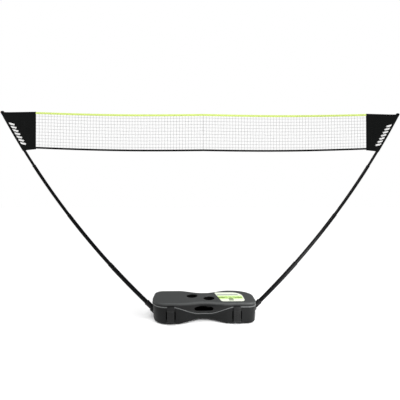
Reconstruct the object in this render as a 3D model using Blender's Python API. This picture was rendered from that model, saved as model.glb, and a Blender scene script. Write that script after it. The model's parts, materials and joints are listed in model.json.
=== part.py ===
"""Portable badminton net: a carry-case base, two bowed telescoping poles and a net.

Frame: metres, +Z up, X along the net, the latches of the case face -Y.
The origin is on the floor, in the middle of the case.
"""
import math

import bmesh
import bpy
from mathutils import Matrix, Vector

# Driving dimensions -----------------------------------------------------------
CASE_LENGTH = 0.745
CASE_DEPTH = 0.250
CASE_TOP = 0.150
CASE_WAIST = 0.152        # depth of the tub at its waist
WIDE_CORNER = 0.115       # plan radius of the back right and front left corners
LONG_CORNER = 0.158       # length along X of the back right one
TIGHT_CORNER = 0.060      # plan radius of the other two corners
DRAFT = 0.022             # share by which the tub's ends come in at the floor
CASE_WALL = 0.0035
CASE_BOTTOM = 0.0043      # height of the tub's underside above the floor
PARTING = 0.118           # height of the joint between tub and lid
WAIST_ARCH = 0.007        # how far the underside rises at the waist
LENS_DROP = 0.056         # how far the lid's front dips at the waist
LENS_SWELL = 0.030        # how far the lid's front stands out at the waist
LENS_FLAT = 0.035         # half length of its level middle
LENS_REACH = 0.180        # length of the slope on each side of that
TUCK = 0.014              # how much deeper and higher the bottom's rounding is at the waist
TUCK_REACH = 0.200        # half length over which that fades out
GAP = 0.0003              # clearance between pieces that touch

CUP_RADIUS = 0.041
CUP_DEPTH = 0.055
CUP_CENTRES = ((-0.085, 0.018), (0.039, -0.030))
GRIP_LENGTH = 0.134
GRIP_HEIGHT = 0.036
GRIP_Z = 0.1045
GRIP_ROUNDING = 0.8       # 1 is an ellipse; less is squarer

HINGE_X = 0.192
HINGE_Y = 0.1315
HINGE_RADIUS = 0.0055
HINGE_PIN = 0.0019
HINGE_BORE = 0.0022

LATCH_X = 0.230
LATCH_WIDTH = 0.050
LATCH_Y = -0.1315
LATCH_FOOT = 0.022        # height of the latch's pivot
LATCH_LEDGE = 0.104       # height of the thumb ledge on its face
LATCH_TOP = 0.126
LATCH_BARREL = 0.0045
SLOT_OFFSET = 0.0295      # finger slots through the tub's wall, from the latch's middle
SLOT_WIDTH = 0.008
SLOT_SPAN = (0.036, 0.093)

POLE_START = (0.413, 0.106)   # X and Z where the pole's line leaves its socket
POLE_LEAN = math.radians(43.97)
POLE_BOW = 5.643              # radius of the bowed pole's line
POLE_TIP = 1.7685             # distance along the pole from its start to the tip
TUBE_RADII = (0.0152, 0.0130, 0.0110, 0.0090)
TUBE_ENDS = ((-0.105, 0.400), (0.340, 0.870), (0.810, 1.315), (1.255, POLE_TIP))
TUBE_WALL = 0.0012
STAGE_TURNS = (4.06, 4.06, 1.015)   # degrees each tube slides into the one below
PLUG_INSERT = 0.014           # how far a plug reaches into its tube
PLUG_CLEARANCE = 0.0003
SOCKET_SPAN = (-0.116, 0.010)
SOCKET_RADIUS = 0.0184
SOCKET_BORE = 0.0156
SOCKET_FLOOR = 0.003
PLATE_SPAN = (0.314, 0.344)   # X of the bracket plate under a socket
PLATE_HALF_WIDTH = 0.042
PLATE_THICK = 0.003
WEB_HALF_WIDTH = 0.011
SCREW_X = 0.334
SCREW_Y = 0.032

POCKET_EDGE = 1.2310      # X of the pocket's inner edge
POCKET_TOP = 1.5145
POCKET_BOTTOM = 1.239
POCKET_CLOTH = 0.0020
SLEEVE_START = 1.446      # distance along the pole where the sleeve begins
SLEEVE_TOP = POLE_TIP + 0.0062      # its closed end, over the tube's cap
SLEEVE_RADIUS = 0.0114
SLEEVE_BORE = 0.0095

TAPE_THICK = 0.0030
TOP_TAPE = 0.0140         # height of the tape along the net's top
BOTTOM_TAPE = 0.0130
NET_THICK = 0.0020
NET_TOP = 1.513           # height of the top tape's upper edge at the pockets
TOP_SAG = 0.009           # how far each half of it sags
TOP_DROOP = 0.007         # how much lower it is at the net's middle
NET_BOTTOM = 1.244        # the same three for the bottom tape's lower edge
BOTTOM_SAG = 0.010
BOTTOM_DROOP = 0.015
SEAM_GAP = 0.00015

FOOT_RADIUS = 0.013
FOOT_PLACES = ((-0.26, -0.075), (0.26, -0.075), (-0.26, 0.075), (0.26, 0.075))

SIDES = (("left", -1.0), ("right", 1.0))

# Finishes: colour, roughness, metallic
FINISHES = {
    "case_plastic": ((0.045, 0.047, 0.048), 0.45, 0.0),
    "lid_plastic": ((0.085, 0.088, 0.088), 0.42, 0.0),
    "black_plastic": ((0.015, 0.015, 0.016), 0.40, 0.0),
    "steel": ((0.55, 0.55, 0.55), 0.35, 1.0),
    "rubber": ((0.02, 0.02, 0.02), 0.80, 0.0),
    "pole_lacquer": ((0.012, 0.012, 0.014), 0.25, 0.0),
    "black_cloth": ((0.018, 0.018, 0.019), 0.85, 0.0),
    "green_cloth": ((0.48, 0.62, 0.09), 0.80, 0.0),
    "net_twine": ((0.03, 0.03, 0.03), 0.90, 0.0),
    "label_film": ((0.80, 0.82, 0.80), 0.40, 0.0),
}


def clear_scene():
    for old in list(bpy.data.objects):
        bpy.data.objects.remove(old, do_unlink=True)


def finish_material(name):
    """The Principled material of one of the FINISHES, made once."""
    known = bpy.data.materials.get(name)
    if known:
        return known
    colour, roughness, metallic = FINISHES[name]
    made = bpy.data.materials.new(name)
    made.use_nodes = True
    shader = made.node_tree.nodes["Principled BSDF"]
    shader.inputs["Base Color"].default_value = (*colour, 1.0)
    shader.inputs["Roughness"].default_value = roughness
    shader.inputs["Metallic"].default_value = metallic
    made.diffuse_color = (*colour, 1.0)
    return made


def add_object(name, bm, finish, pivot=None, smooth=True):
    """Store a bmesh as an object whose origin is at pivot."""
    bmesh.ops.recalc_face_normals(bm, faces=bm.faces)
    mesh = bpy.data.meshes.new(name)
    bm.to_mesh(mesh)
    bm.free()
    if smooth:
        mesh.shade_smooth()
        mesh.set_sharp_from_angle(angle=math.radians(35))
    made = bpy.data.objects.new(name, mesh)
    bpy.context.scene.collection.objects.link(made)
    if finish:
        mesh.materials.append(finish_material(finish))
    if pivot is not None:
        mesh.transform(Matrix.Translation(-Vector(pivot)))
        made.location = pivot
    return made


def add_axis(name, place, parent=None):
    """An empty on a joint's axis; the pieces that turn there are its children."""
    made = bpy.data.objects.new(name, None)
    made.empty_display_size = 0.05
    made.location = place
    bpy.context.scene.collection.objects.link(made)
    if parent:
        hang(made, parent)
    return made


def hang(piece, parent):
    """Parent a piece and keep it where it is. No empty is turned or scaled."""
    piece.location = piece.location - world_place(parent)
    piece.parent = parent


def world_place(thing):
    place = thing.location.copy()
    while thing.parent:
        thing = thing.parent
        place += thing.location
    return place


def loft(bm, rings, caps=True):
    """Join closed rings of equal length with quads, and close both ends."""
    loops = [[bm.verts.new(point) for point in ring] for ring in rings]
    count = len(loops[0])
    for low, high in zip(loops, loops[1:]):
        for i in range(count):
            j = (i + 1) % count
            bm.faces.new((low[i], low[j], high[j], high[i]))
    if caps:
        bm.faces.new(list(reversed(loops[0])))
        bm.faces.new(loops[-1])
    return loops


def paired_cap(bm, loop):
    """Close a case ring with strips that run from its front to its back."""
    count = len(loop)
    for i in range(count // 2 - 1):
        bm.faces.new((loop[i], loop[i + 1], loop[count - 2 - i], loop[count - 1 - i]))


def turned(bm, profile, place, axis, sides=16):
    """A solid of revolution: profile is (distance along axis, radius) from end to end."""
    axis = Vector(axis).normalized()
    across = axis.orthogonal().normalized()
    other = axis.cross(across)
    rings = []
    for along, radius in profile:
        centre = Vector(place) + axis * along
        ring = []
        for k in range(sides):
            turn = 2.0 * math.pi * k / sides
            ring.append(centre + radius * (math.cos(turn) * across + math.sin(turn) * other))
        rings.append(ring)
    loft(bm, rings)


def block(bm, low, high):
    """A box between two corners."""
    size = Vector(high) - Vector(low)
    middle = (Vector(high) + Vector(low)) / 2
    matrix = Matrix.Translation(middle) @ Matrix.Diagonal((*size, 1.0))
    bmesh.ops.create_cube(bm, size=1.0, matrix=matrix)


def extruded(bm, outline, start, end):
    """A closed outline of points extruded from start to end, two vectors to add."""
    loft(bm, [[Vector(p) + Vector(start) for p in outline],
              [Vector(p) + Vector(end) for p in outline]])


def combine(target, tool, operation):
    """A live Boolean with a hidden tool body."""
    tool.hide_render = True
    tool.display_type = "WIRE"
    step = target.modifiers.new(tool.name, "BOOLEAN")
    step.operation = operation
    step.solver = "EXACT"
    step.object = tool


# Case outline -----------------------------------------------------------------
def ease(t):
    t = min(1.0, max(0.0, t))
    return t * t * (3.0 - 2.0 * t)


def half_depth(x):
    """Half the case's depth at x: two wide lobes and a waist."""
    lobe, waist = CASE_DEPTH / 2, CASE_WAIST / 2
    return waist + (lobe - waist) * ease((abs(x) - 0.015) / 0.175)


def quarter(corner, reach=None):
    """Points from the middle of one long side round to the end, for one corner radius."""
    reach = reach or corner
    flat_x = CASE_LENGTH / 2 - reach
    points = []
    for k in range(11):
        x = flat_x * k / 11
        points.append((x, half_depth(x)))
    for k in range(8):
        turn = math.pi / 2 * k / 7
        points.append((flat_x + reach * math.sin(turn),
                       CASE_DEPTH / 2 - corner + corner * math.cos(turn)))
    return points


def plan():
    """Points and outward normals of the plan, front left to right, then back right to left."""
    wide, long, tight = (quarter(WIDE_CORNER), quarter(WIDE_CORNER, LONG_CORNER),
                         quarter(TIGHT_CORNER))
    points = [(-x, -h) for x, h in reversed(wide[1:])] + [(x, -h) for x, h in tight]
    points += [(x, h) for x, h in reversed(long[1:])] + [(-x, h) for x, h in tight]
    count = len(points)
    normals = []
    for i in range(count):
        before, after = points[i - 1], points[(i + 1) % count]
        along = Vector((after[0] - before[0], after[1] - before[1])).normalized()
        normals.append((along.y, -along.x))
    return points, normals


def waist_share(x, reach):
    return 1.0 - ease(abs(x) / reach)


def lens_share(x):
    return 1.0 - ease((abs(x) - LENS_FLAT) / LENS_REACH)


def draft(z):
    """How much the plan shrinks along X at a height below the parting line."""
    return 1.0 - DRAFT * max(0.0, PARTING - z) / PARTING


def case_ring(inset, height, swell=0.0, tuck=0.0):
    """One ring of the case: height is a function of x and of being on the front."""
    ring = []
    for (x, y), (nx, ny) in zip(*plan()):
        front = y < 0.0
        out = -inset - tuck * TUCK * waist_share(x, TUCK_REACH)
        if front:
            out += swell * LENS_SWELL * lens_share(x)
        z = height(x, front)
        ring.append(((x + nx * out) * draft(z), y + ny * out, z))
    return ring


def parting_height(x, front):
    return PARTING - (LENS_DROP * lens_share(x) if front else 0.0)


def floor_height(x):
    return CASE_BOTTOM + WAIST_ARCH * waist_share(x, TUCK_REACH)


def lid_level(share, under=0.0):
    """Height at a share of the way from the parting line to the top."""
    def height(x, front):
        low = parting_height(x, front) + GAP / 2
        return low + share * (CASE_TOP - low) - under
    return height


def tub_level(rise, tuck=0.0):
    return lambda x, front: floor_height(x) + rise + tuck * TUCK * waist_share(x, TUCK_REACH)


def rim_level(drop):
    return lambda x, front: parting_height(x, front) - GAP / 2 - drop


def shell(name, rings, finish, pivot=None):
    bm = bmesh.new()
    loops = loft(bm, rings, caps=False)
    paired_cap(bm, loops[0])
    paired_cap(bm, loops[-1])
    return add_object(name, bm, finish, pivot)


def lug(bm, x0, x1, y, z, wall_y, wall_low, wall_high):
    """A knuckle along X with a tail that runs into the case wall."""
    back = 1.0 if wall_y < y else -1.0
    outline = [(0.0, wall_y, wall_low), (0.0, wall_y, wall_high)]
    for k in range(13):
        turn = math.pi / 2 - math.pi * k / 12
        outline.append((0.0, y + back * HINGE_RADIUS * math.cos(turn),
                        z + HINGE_RADIUS * math.sin(turn)))
    extruded(bm, outline, (x0, 0, 0), (x1, 0, 0))


def grip_outline():
    """The oval hand hole, as points in the XZ plane."""
    def rounded(share, reach):
        return math.copysign(abs(share) ** GRIP_ROUNDING, share) * reach
    points = []
    for k in range(24):
        turn = 2.0 * math.pi * k / 24
        points.append((rounded(math.cos(turn), GRIP_LENGTH / 2), 0.0,
                       GRIP_Z + rounded(math.sin(turn), GRIP_HEIGHT / 2)))
    return points


# Bowed pole -------------------------------------------------------------------
def bow_centre():
    return Vector((POLE_START[0] - POLE_BOW * math.sin(POLE_LEAN), 0.0,
                   POLE_START[1] + POLE_BOW * math.cos(POLE_LEAN)))


def pole_frame(along, side):
    """Point, direction and in-plane normal of the pole's line."""
    lean = POLE_LEAN + along / POLE_BOW
    point = bow_centre() + POLE_BOW * Vector((math.sin(lean), 0.0, -math.cos(lean)))
    direction = Vector((math.cos(lean), 0.0, math.sin(lean)))
    normal = Vector((-math.sin(lean), 0.0, math.cos(lean)))
    for v in (point, direction, normal):
        v.x *= side
    return point, direction, normal


def bow_ring(along, radius, side, sides):
    point, _, normal = pole_frame(along, side)
    ring = []
    for k in range(sides):
        turn = 2.0 * math.pi * (k + 0.5) / sides
        ring.append(point + radius * (math.cos(turn) * normal + math.sin(turn) * Vector((0, 1, 0))))
    return ring


def bow_profile(bm, profile, side, sides=12):
    """A solid that follows the pole's line: profile is (distance, radius) in order."""
    loft(bm, [bow_ring(along, radius, side, sides) for along, radius in profile])


def spread(start, end, count):
    return [start + (end - start) * k / count for k in range(count + 1)]


def bow_tube(bm, start, end, outer, inner, side, steps=7, sides=12, floor=None):
    """A bowed tube, open at the top; floor closes its lower end with that thickness."""
    walls = [(s, outer) for s in spread(start, end, steps)]
    if floor is None:
        inside = [(s, inner) for s in spread(end, start, steps)]
        rings = [bow_ring(s, r, side, sides) for s, r in walls + inside]
        loops = loft(bm, rings, caps=False)
        for i in range(sides):
            j = (i + 1) % sides
            bm.faces.new((loops[-1][i], loops[-1][j], loops[0][j], loops[0][i]))
        return
    inside = [(s, inner) for s in spread(end, start + floor, steps)]
    bow_profile(bm, walls + inside, side, sides)


# Pieces -----------------------------------------------------------------------
def make_tub():
    wall = CASE_WALL
    tub = shell("base_tub", [
        case_ring(wall + 0.006, tub_level(wall), tuck=1.0),
        case_ring(wall, tub_level(wall + 0.010, 1.0)),
        case_ring(wall, rim_level(0.022)),
        case_ring(wall, rim_level(0.0), swell=0.45),
        case_ring(0.0, rim_level(0.0), swell=0.45),
        case_ring(0.0, rim_level(0.022)),
        case_ring(0.0, tub_level(0.012, 1.0)),
        case_ring(0.0035, tub_level(0.0035, 0.3), tuck=0.3),
        case_ring(0.011, tub_level(0.0), tuck=1.0),
    ], "case_plastic")

    lugs = bmesh.new()
    for _, side in SIDES:
        for offset in (-0.016, 0.016):
            x = side * HINGE_X + offset
            lug(lugs, x - 0.007, x + 0.007, HINGE_Y, PARTING,
                CASE_DEPTH / 2 - 0.003, PARTING - 0.016, PARTING - 0.0045)
        for offset in (-1.0, 1.0):
            x = side * LATCH_X + offset * (LATCH_WIDTH / 2 + 0.0036)
            lug(lugs, x - 0.003, x + 0.003, LATCH_Y, LATCH_FOOT,
                0.002 - CASE_DEPTH / 2, LATCH_FOOT - 0.005, LATCH_FOOT + 0.009)
    combine(tub, add_object("tub_lugs", lugs, None), "UNION")

    cuts = bmesh.new()
    for _, side in SIDES:
        reach = 0.030
        turned(cuts, [(-reach, HINGE_BORE), (reach, HINGE_BORE)],
               (side * HINGE_X, HINGE_Y, PARTING), (1, 0, 0))
        reach = LATCH_WIDTH / 2 + 0.009
        turned(cuts, [(-reach, HINGE_BORE), (reach, HINGE_BORE)],
               (side * LATCH_X, LATCH_Y, LATCH_FOOT), (1, 0, 0))
        bow_profile(cuts, [(s, SOCKET_RADIUS + GAP + 0.0002) for s in spread(-0.10, 0.02, 3)], side, 16)
        for place in screw_places(side):
            turned(cuts, [(-0.02, 0.0022), (0.003, 0.0022)], place, (0, 0, 1), 10)
        for offset in (-SLOT_OFFSET, SLOT_OFFSET):
            x = side * LATCH_X + offset
            block(cuts, (x - SLOT_WIDTH / 2, -CASE_DEPTH / 2 - 0.01, SLOT_SPAN[0]),
                  (x + SLOT_WIDTH / 2, -CASE_DEPTH / 2 + 0.01, SLOT_SPAN[1]))
    combine(tub, add_object("tub_cuts", cuts, None), "DIFFERENCE")
    return tub


def make_lid(axis):
    wall = CASE_WALL
    lid = shell("base_lid", [
        case_ring(wall + 0.009, lid_level(1.0, wall), swell=0.62),
        case_ring(wall + 0.003, lid_level(0.90, wall), swell=0.90),
        case_ring(wall, lid_level(0.70), swell=1.0),
        case_ring(wall, lid_level(0.28), swell=0.92),
        case_ring(wall, lid_level(0.0), swell=0.45),
        case_ring(0.0, lid_level(0.0), swell=0.45),
        case_ring(0.0, lid_level(0.28), swell=0.92),
        case_ring(0.0, lid_level(0.70), swell=1.0),
        case_ring(0.0016, lid_level(0.90), swell=0.92),
        case_ring(0.0055, lid_level(0.98), swell=0.78),
        case_ring(0.0120, lid_level(1.0), swell=0.62),
    ], "lid_plastic", (0.0, HINGE_Y, PARTING))
    hang(lid, axis)

    lugs = bmesh.new()
    for _, side in SIDES:
        x = side * HINGE_X
        lug(lugs, x - 0.0085, x + 0.0085, HINGE_Y, PARTING,
            CASE_DEPTH / 2 - 0.003, PARTING + 0.0045, PARTING + 0.016)
    for x, y in CUP_CENTRES:
        turned(lugs, [(0.0, CUP_RADIUS - 0.004), (0.006, CUP_RADIUS + 0.0025),
                      (CUP_DEPTH, CUP_RADIUS + 0.0025)],
               (x, y, CASE_TOP - 0.0015 - CUP_DEPTH), (0, 0, 1), 32)
    combine(lid, add_object("lid_lugs", lugs, None), "UNION")

    cuts = bmesh.new()
    for _, side in SIDES:
        turned(cuts, [(-0.03, HINGE_BORE), (0.03, HINGE_BORE)],
               (side * HINGE_X, HINGE_Y, PARTING), (1, 0, 0))
    for x, y in CUP_CENTRES:
        turned(cuts, [(0.0, CUP_RADIUS - 0.006), (0.005, CUP_RADIUS - 0.0005),
                      (CUP_DEPTH - 0.003, CUP_RADIUS), (CUP_DEPTH, CUP_RADIUS + 0.003),
                      (CUP_DEPTH + 0.01, CUP_RADIUS + 0.013)],
               (x, y, CASE_TOP + 0.001 - CUP_DEPTH), (0, 0, 1), 32)
    extruded(cuts, grip_outline(), (0, -0.16, 0), (0, -0.088, 0))
    combine(lid, add_object("lid_cuts", cuts, None), "DIFFERENCE")
    return lid


def make_label(axis):
    """A printed film on the lid's right lobe: slanted left edge, wide back right corner."""
    bm = bmesh.new()
    outline = []
    for cx, cy, radius, start, end in ((0.268, -0.073, 0.024, -90, 0), (0.209, -0.008, 0.083, 0, 90),
                                       (0.099, 0.063, 0.012, 90, 195), (0.140, -0.080, 0.017, 195, 270)):
        for k in range(7):
            turn = math.radians(start + (end - start) * k / 6)
            outline.append((cx + radius * math.cos(turn), cy + radius * math.sin(turn), 0.0))
    low = CASE_TOP + GAP
    extruded(bm, outline, (0, 0, low), (0, 0, low + 0.0006))
    hang(add_object("lid_label", bm, "label_film", (0.0, HINGE_Y, PARTING)), axis)


def make_pin(name, place, reach, parent=None):
    bm = bmesh.new()
    turned(bm, [(-reach, HINGE_PIN * 0.8), (-reach + 0.0004, HINGE_PIN),
                (reach - 0.0004, HINGE_PIN), (reach, HINGE_PIN * 0.8)], place, (1, 0, 0))
    pin = add_object(name, bm, "steel", place)
    if parent:
        hang(pin, parent)


def make_latch(name, side, axis):
    """A lever that turns about its foot and lies over the joint of the case."""
    x = side * LATCH_X
    y, z = LATCH_Y, LATCH_FOOT
    inner, outer = y + 0.0040, y - 0.0018
    outline = [(0, inner, LATCH_TOP), (0, inner, z + 0.006)]
    for k in range(9):
        turn = math.radians(60) - math.radians(300) * k / 8
        outline.append((0, y + LATCH_BARREL * math.cos(turn), z + LATCH_BARREL * math.sin(turn)))
    outline += [(0, outer, z + 0.0065), (0, outer, LATCH_LEDGE - 0.014),
                (0, outer - 0.0035, LATCH_LEDGE - 0.004), (0, outer - 0.0035, LATCH_LEDGE),
                (0, outer, LATCH_LEDGE + 0.001), (0, outer, LATCH_TOP)]
    bm = bmesh.new()
    half = LATCH_WIDTH / 2
    extruded(bm, outline, (x - half, 0, 0), (x + half, 0, 0))
    latch = add_object(name, bm, "black_plastic", (x, y, z))
    hang(latch, axis)
    cut = bmesh.new()
    turned(cut, [(-half - 0.01, HINGE_BORE), (half + 0.01, HINGE_BORE)], (x, y, z), (1, 0, 0))
    combine(latch, add_object(name + "_bore", cut, None), "DIFFERENCE")


def screw_places(side):
    """Centres of the two bracket screws, on the top of the tub's floor."""
    return [(side * SCREW_X, y, CASE_BOTTOM + CASE_WALL) for y in (-SCREW_Y, SCREW_Y)]


def make_socket(name, side):
    """A tube that takes the pole's foot, on a bracket plate inside the tub."""
    bm = bmesh.new()
    bow_tube(bm, *SOCKET_SPAN, SOCKET_RADIUS, SOCKET_BORE, side, steps=3, sides=16,
             floor=SOCKET_FLOOR)
    socket = add_object(name, bm, "black_plastic")
    low = CASE_BOTTOM + CASE_WALL + GAP
    plate = bmesh.new()
    xs = sorted(side * x for x in PLATE_SPAN)
    block(plate, (xs[0], -PLATE_HALF_WIDTH, low), (xs[1], PLATE_HALF_WIDTH, low + PLATE_THICK))
    combine(socket, add_object(name + "_plate", plate, None), "UNION")
    web = bmesh.new()
    inner, outer = (side * (x + inward) for x, inward in zip(PLATE_SPAN, (0.002, -0.001)))
    outline = [(inner, 0, low + 0.001), (outer, 0, low + 0.001),
               (outer, 0, 0.046), (inner + side * 0.010, 0, 0.028)]
    extruded(web, outline, (0, -WEB_HALF_WIDTH, 0), (0, WEB_HALF_WIDTH, 0))
    combine(socket, add_object(name + "_web", web, None), "UNION")
    cuts = bmesh.new()
    hollow = spread(SOCKET_SPAN[0] + SOCKET_FLOOR, SOCKET_SPAN[1] + 0.03, 3)
    bow_profile(cuts, [(s, SOCKET_BORE) for s in hollow], side, 16)
    for place in screw_places(side):
        turned(cuts, [(-0.001, 0.0022), (0.006, 0.0022)], place, (0, 0, 1), 10)
    combine(socket, add_object(name + "_bore", cuts, None), "DIFFERENCE")


def make_screw(name, place):
    bm = bmesh.new()
    head = GAP * 2 + 0.003
    turned(bm, [(-CASE_WALL + 0.0006, 0.0012), (-CASE_WALL + 0.0014, 0.0018), (head, 0.0018),
                (head, 0.0042), (head + 0.0016, 0.0038), (head + 0.0024, 0.0022)],
           place, (0, 0, 1), 12)
    add_object(name, bm, "steel")


def make_foot(name, x, y):
    bm = bmesh.new()
    top = CASE_BOTTOM - GAP
    turned(bm, [(0.0, FOOT_RADIUS - 0.001), (0.001, FOOT_RADIUS), (top, FOOT_RADIUS)],
           (x, y, 0.0), (0, 0, 1), 24)
    add_object(name, bm, "rubber")


def make_pole(side_name, side, axes):
    """Four bowed tubes, each stage on its own axis, with the plugs in their lower ends."""
    for number, ((start, end), radius) in enumerate(zip(TUBE_ENDS, TUBE_RADII), 1):
        parent = axes[number - 2] if number > 1 else None
        pivot = mirrored(bow_centre(), side)
        bore = radius - TUBE_WALL
        bm = bmesh.new()
        bow_tube(bm, start, end, radius, bore, side)
        tube = add_object(f"pole_tube_{number}_{side_name}", bm, "pole_lacquer", pivot)
        guide = TUBE_RADII[number - 2] - TUBE_WALL - PLUG_CLEARANCE if number > 1 else radius
        plug = bmesh.new()
        shoulder = start - GAP
        bow_profile(plug, [(shoulder - 0.007, guide - 0.001), (shoulder - 0.006, guide),
                           (shoulder, guide), (shoulder, bore - PLUG_CLEARANCE),
                           (shoulder + PLUG_INSERT, bore - PLUG_CLEARANCE)], side)
        plug_name = f"pole_foot_plug_{side_name}" if number == 1 else f"stage_plug_{number}_{side_name}"
        stopper = add_object(plug_name, plug, "black_plastic", pivot)
        if parent:
            hang(tube, parent)
            hang(stopper, parent)


def mirrored(point, side):
    return Vector((point.x * side, point.y, point.z))


def make_tip_cap(name, side, parent):
    bm = bmesh.new()
    bore = TUBE_RADII[-1] - TUBE_WALL - PLUG_CLEARANCE
    end = POLE_TIP + GAP
    dome = [(end + 0.0045 * math.sin(t), (TUBE_RADII[-1] - 0.0002) * math.cos(t))
            for t in (math.radians(a) for a in (0, 25, 50, 72))]
    bow_profile(bm, [(end - PLUG_INSERT, bore), (end, bore)] + dome, side)
    hang(add_object(name, bm, "black_plastic", mirrored(bow_centre(), side)), parent)


def make_pocket(name, side, parent):
    """A flat cloth pocket with a sleeve along its outer edge for the pole's tip."""
    bm = bmesh.new()
    outer = [(s, SLEEVE_RADIUS) for s in spread(SLEEVE_START, SLEEVE_TOP - 0.002, 5)]
    inner = [(s, SLEEVE_BORE) for s in spread(SLEEVE_TOP - 0.0012, SLEEVE_START, 5)]
    bow_profile(bm, inner + outer + [(SLEEVE_TOP, SLEEVE_RADIUS * 0.65)], side)
    pocket = add_object(name, bm, "black_cloth", mirrored(bow_centre(), side))
    hang(pocket, parent)
    panel = bmesh.new()
    middle = (SLEEVE_RADIUS + SLEEVE_BORE) / 2
    edge = []
    for s in spread(SLEEVE_START + 0.004, POLE_TIP - 0.0025, 6):
        point, _, normal = pole_frame(s, side)
        edge.append(point + normal * middle)
    outline = [Vector((side * POCKET_EDGE, 0, POCKET_BOTTOM))] + edge
    outline += [Vector((side * POCKET_EDGE, 0, POCKET_TOP))]
    half = Vector((0, POCKET_CLOTH / 2, 0))
    extruded(panel, outline, -half, half)
    combine(pocket, add_object(name + "_panel", panel, None), "UNION")


def sagging(x, end, sag, droop):
    """Height at x of a line that is at end at the pockets, sags in each half and droops."""
    share = min(1.0, abs(x) / POCKET_EDGE)
    return end - sag * math.sin(math.pi * share) - droop * (1.0 - share)


def top_line(x):
    return sagging(x, NET_TOP, TOP_SAG, TOP_DROOP)


def bottom_line(x):
    return sagging(x, NET_BOTTOM, BOTTOM_SAG, BOTTOM_DROOP)


def strip(name, side, finish, low, high, thick, end, parent):
    """A thin upright band from the net's middle to end, between two curves over x."""
    bm = bmesh.new()
    rings = []
    for x in spread(SEAM_GAP, end, 16):
        a, b = low(x), high(x)
        rings.append([Vector((side * x, y, z)) for y, z in
                      ((-thick / 2, a), (thick / 2, a), (thick / 2, b), (-thick / 2, b))])
    loft(bm, rings)
    hang(add_object(name, bm, finish, world_place(parent)), parent)


def make_net_half(side_name, side, parent):
    end = POCKET_EDGE - GAP
    strip(f"net_top_tape_{side_name}", side, "green_cloth",
          lambda x: top_line(x) - TOP_TAPE, top_line, TAPE_THICK, end, parent)
    strip(f"net_bottom_tape_{side_name}", side, "black_cloth",
          bottom_line, lambda x: bottom_line(x) + BOTTOM_TAPE, TAPE_THICK, end, parent)
    strip(f"net_mesh_{side_name}", side, "net_twine",
          lambda x: bottom_line(x) + BOTTOM_TAPE + GAP, lambda x: top_line(x) - TOP_TAPE - GAP,
          NET_THICK, end - 0.010, parent)


# Joints -----------------------------------------------------------------------
def net_pivot(side):
    """Axis about which a net half turns back on its tip tube, so that it stays level.

    The three stages together turn the tip tube by fold about the bow's centre. The
    net's middle then moves straight down by drop when the axis lies off that centre
    by the arm below.
    """
    fold = math.radians(sum(STAGE_TURNS))
    high, _, _ = pole_frame(POLE_TIP, 1.0)
    low, _, _ = pole_frame(POLE_TIP - fold * POLE_BOW, 1.0)
    drop = high.z - low.z
    arm = drop / (2.0 * math.sin(fold / 2))
    offset = Vector((arm * math.cos(fold / 2), 0.0, arm * math.sin(fold / 2)))
    return mirrored(bow_centre() + offset, side)


def main():
    clear_scene()
    make_tub()
    lid_axis = add_axis("lid_hinge_axis", (0.0, HINGE_Y, PARTING))
    make_lid(lid_axis)
    make_label(lid_axis)
    for side_name, side in SIDES:
        make_pin(f"hinge_pin_{side_name}", (side * HINGE_X, HINGE_Y, PARTING), 0.0225)
        latch_axis = add_axis(f"latch_axis_{side_name}", (side * LATCH_X, LATCH_Y, LATCH_FOOT))
        make_latch(f"latch_{side_name}", side, latch_axis)
        make_pin(f"latch_pin_{side_name}", (side * LATCH_X, LATCH_Y, LATCH_FOOT),
                 LATCH_WIDTH / 2 + 0.006)
        make_socket(f"pole_socket_{side_name}", side)
        for letter, place in zip("ab", screw_places(side)):
            make_screw(f"socket_screw_{letter}_{side_name}", place)
        axes = []
        for number in (2, 3, 4):
            axes.append(add_axis(f"stage_{number}_axis_{side_name}", mirrored(bow_centre(), side),
                                 axes[-1] if axes else None))
        make_pole(side_name, side, axes)
        make_tip_cap(f"pole_tip_cap_{side_name}", side, axes[-1])
        make_pocket(f"net_pocket_{side_name}", side, axes[-1])
        net_axis = add_axis(f"net_axis_{side_name}", net_pivot(side), axes[-1])
        make_net_half(side_name, side, net_axis)
    for number, (x, y) in enumerate(FOOT_PLACES, 1):
        make_foot(f"base_foot_{number}", x, y)


main()
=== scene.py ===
"""Looks of the portable badminton net: the case, the bowed poles, the cloth and the mesh."""

import json
import math

import bpy
from mathutils import Matrix, Vector


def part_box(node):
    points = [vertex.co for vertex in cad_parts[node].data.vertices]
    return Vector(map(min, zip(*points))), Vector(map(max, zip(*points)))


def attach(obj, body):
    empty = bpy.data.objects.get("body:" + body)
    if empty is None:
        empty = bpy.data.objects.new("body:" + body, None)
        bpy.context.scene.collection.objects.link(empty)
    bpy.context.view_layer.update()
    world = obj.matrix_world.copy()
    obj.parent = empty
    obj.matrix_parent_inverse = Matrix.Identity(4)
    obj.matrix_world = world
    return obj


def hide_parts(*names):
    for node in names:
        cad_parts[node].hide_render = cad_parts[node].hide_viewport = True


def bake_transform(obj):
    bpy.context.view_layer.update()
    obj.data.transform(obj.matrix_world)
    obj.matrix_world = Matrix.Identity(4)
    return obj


bl_info = {
    "name": "Portable badminton net",
    "version": (1, 0, 0),
    "blender": (4, 5, 0),
    "location": "View3D > Sidebar > Net",
    "description": "Builds the finished surfaces of a free-standing badminton net",
    "category": "Object",
}

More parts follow.
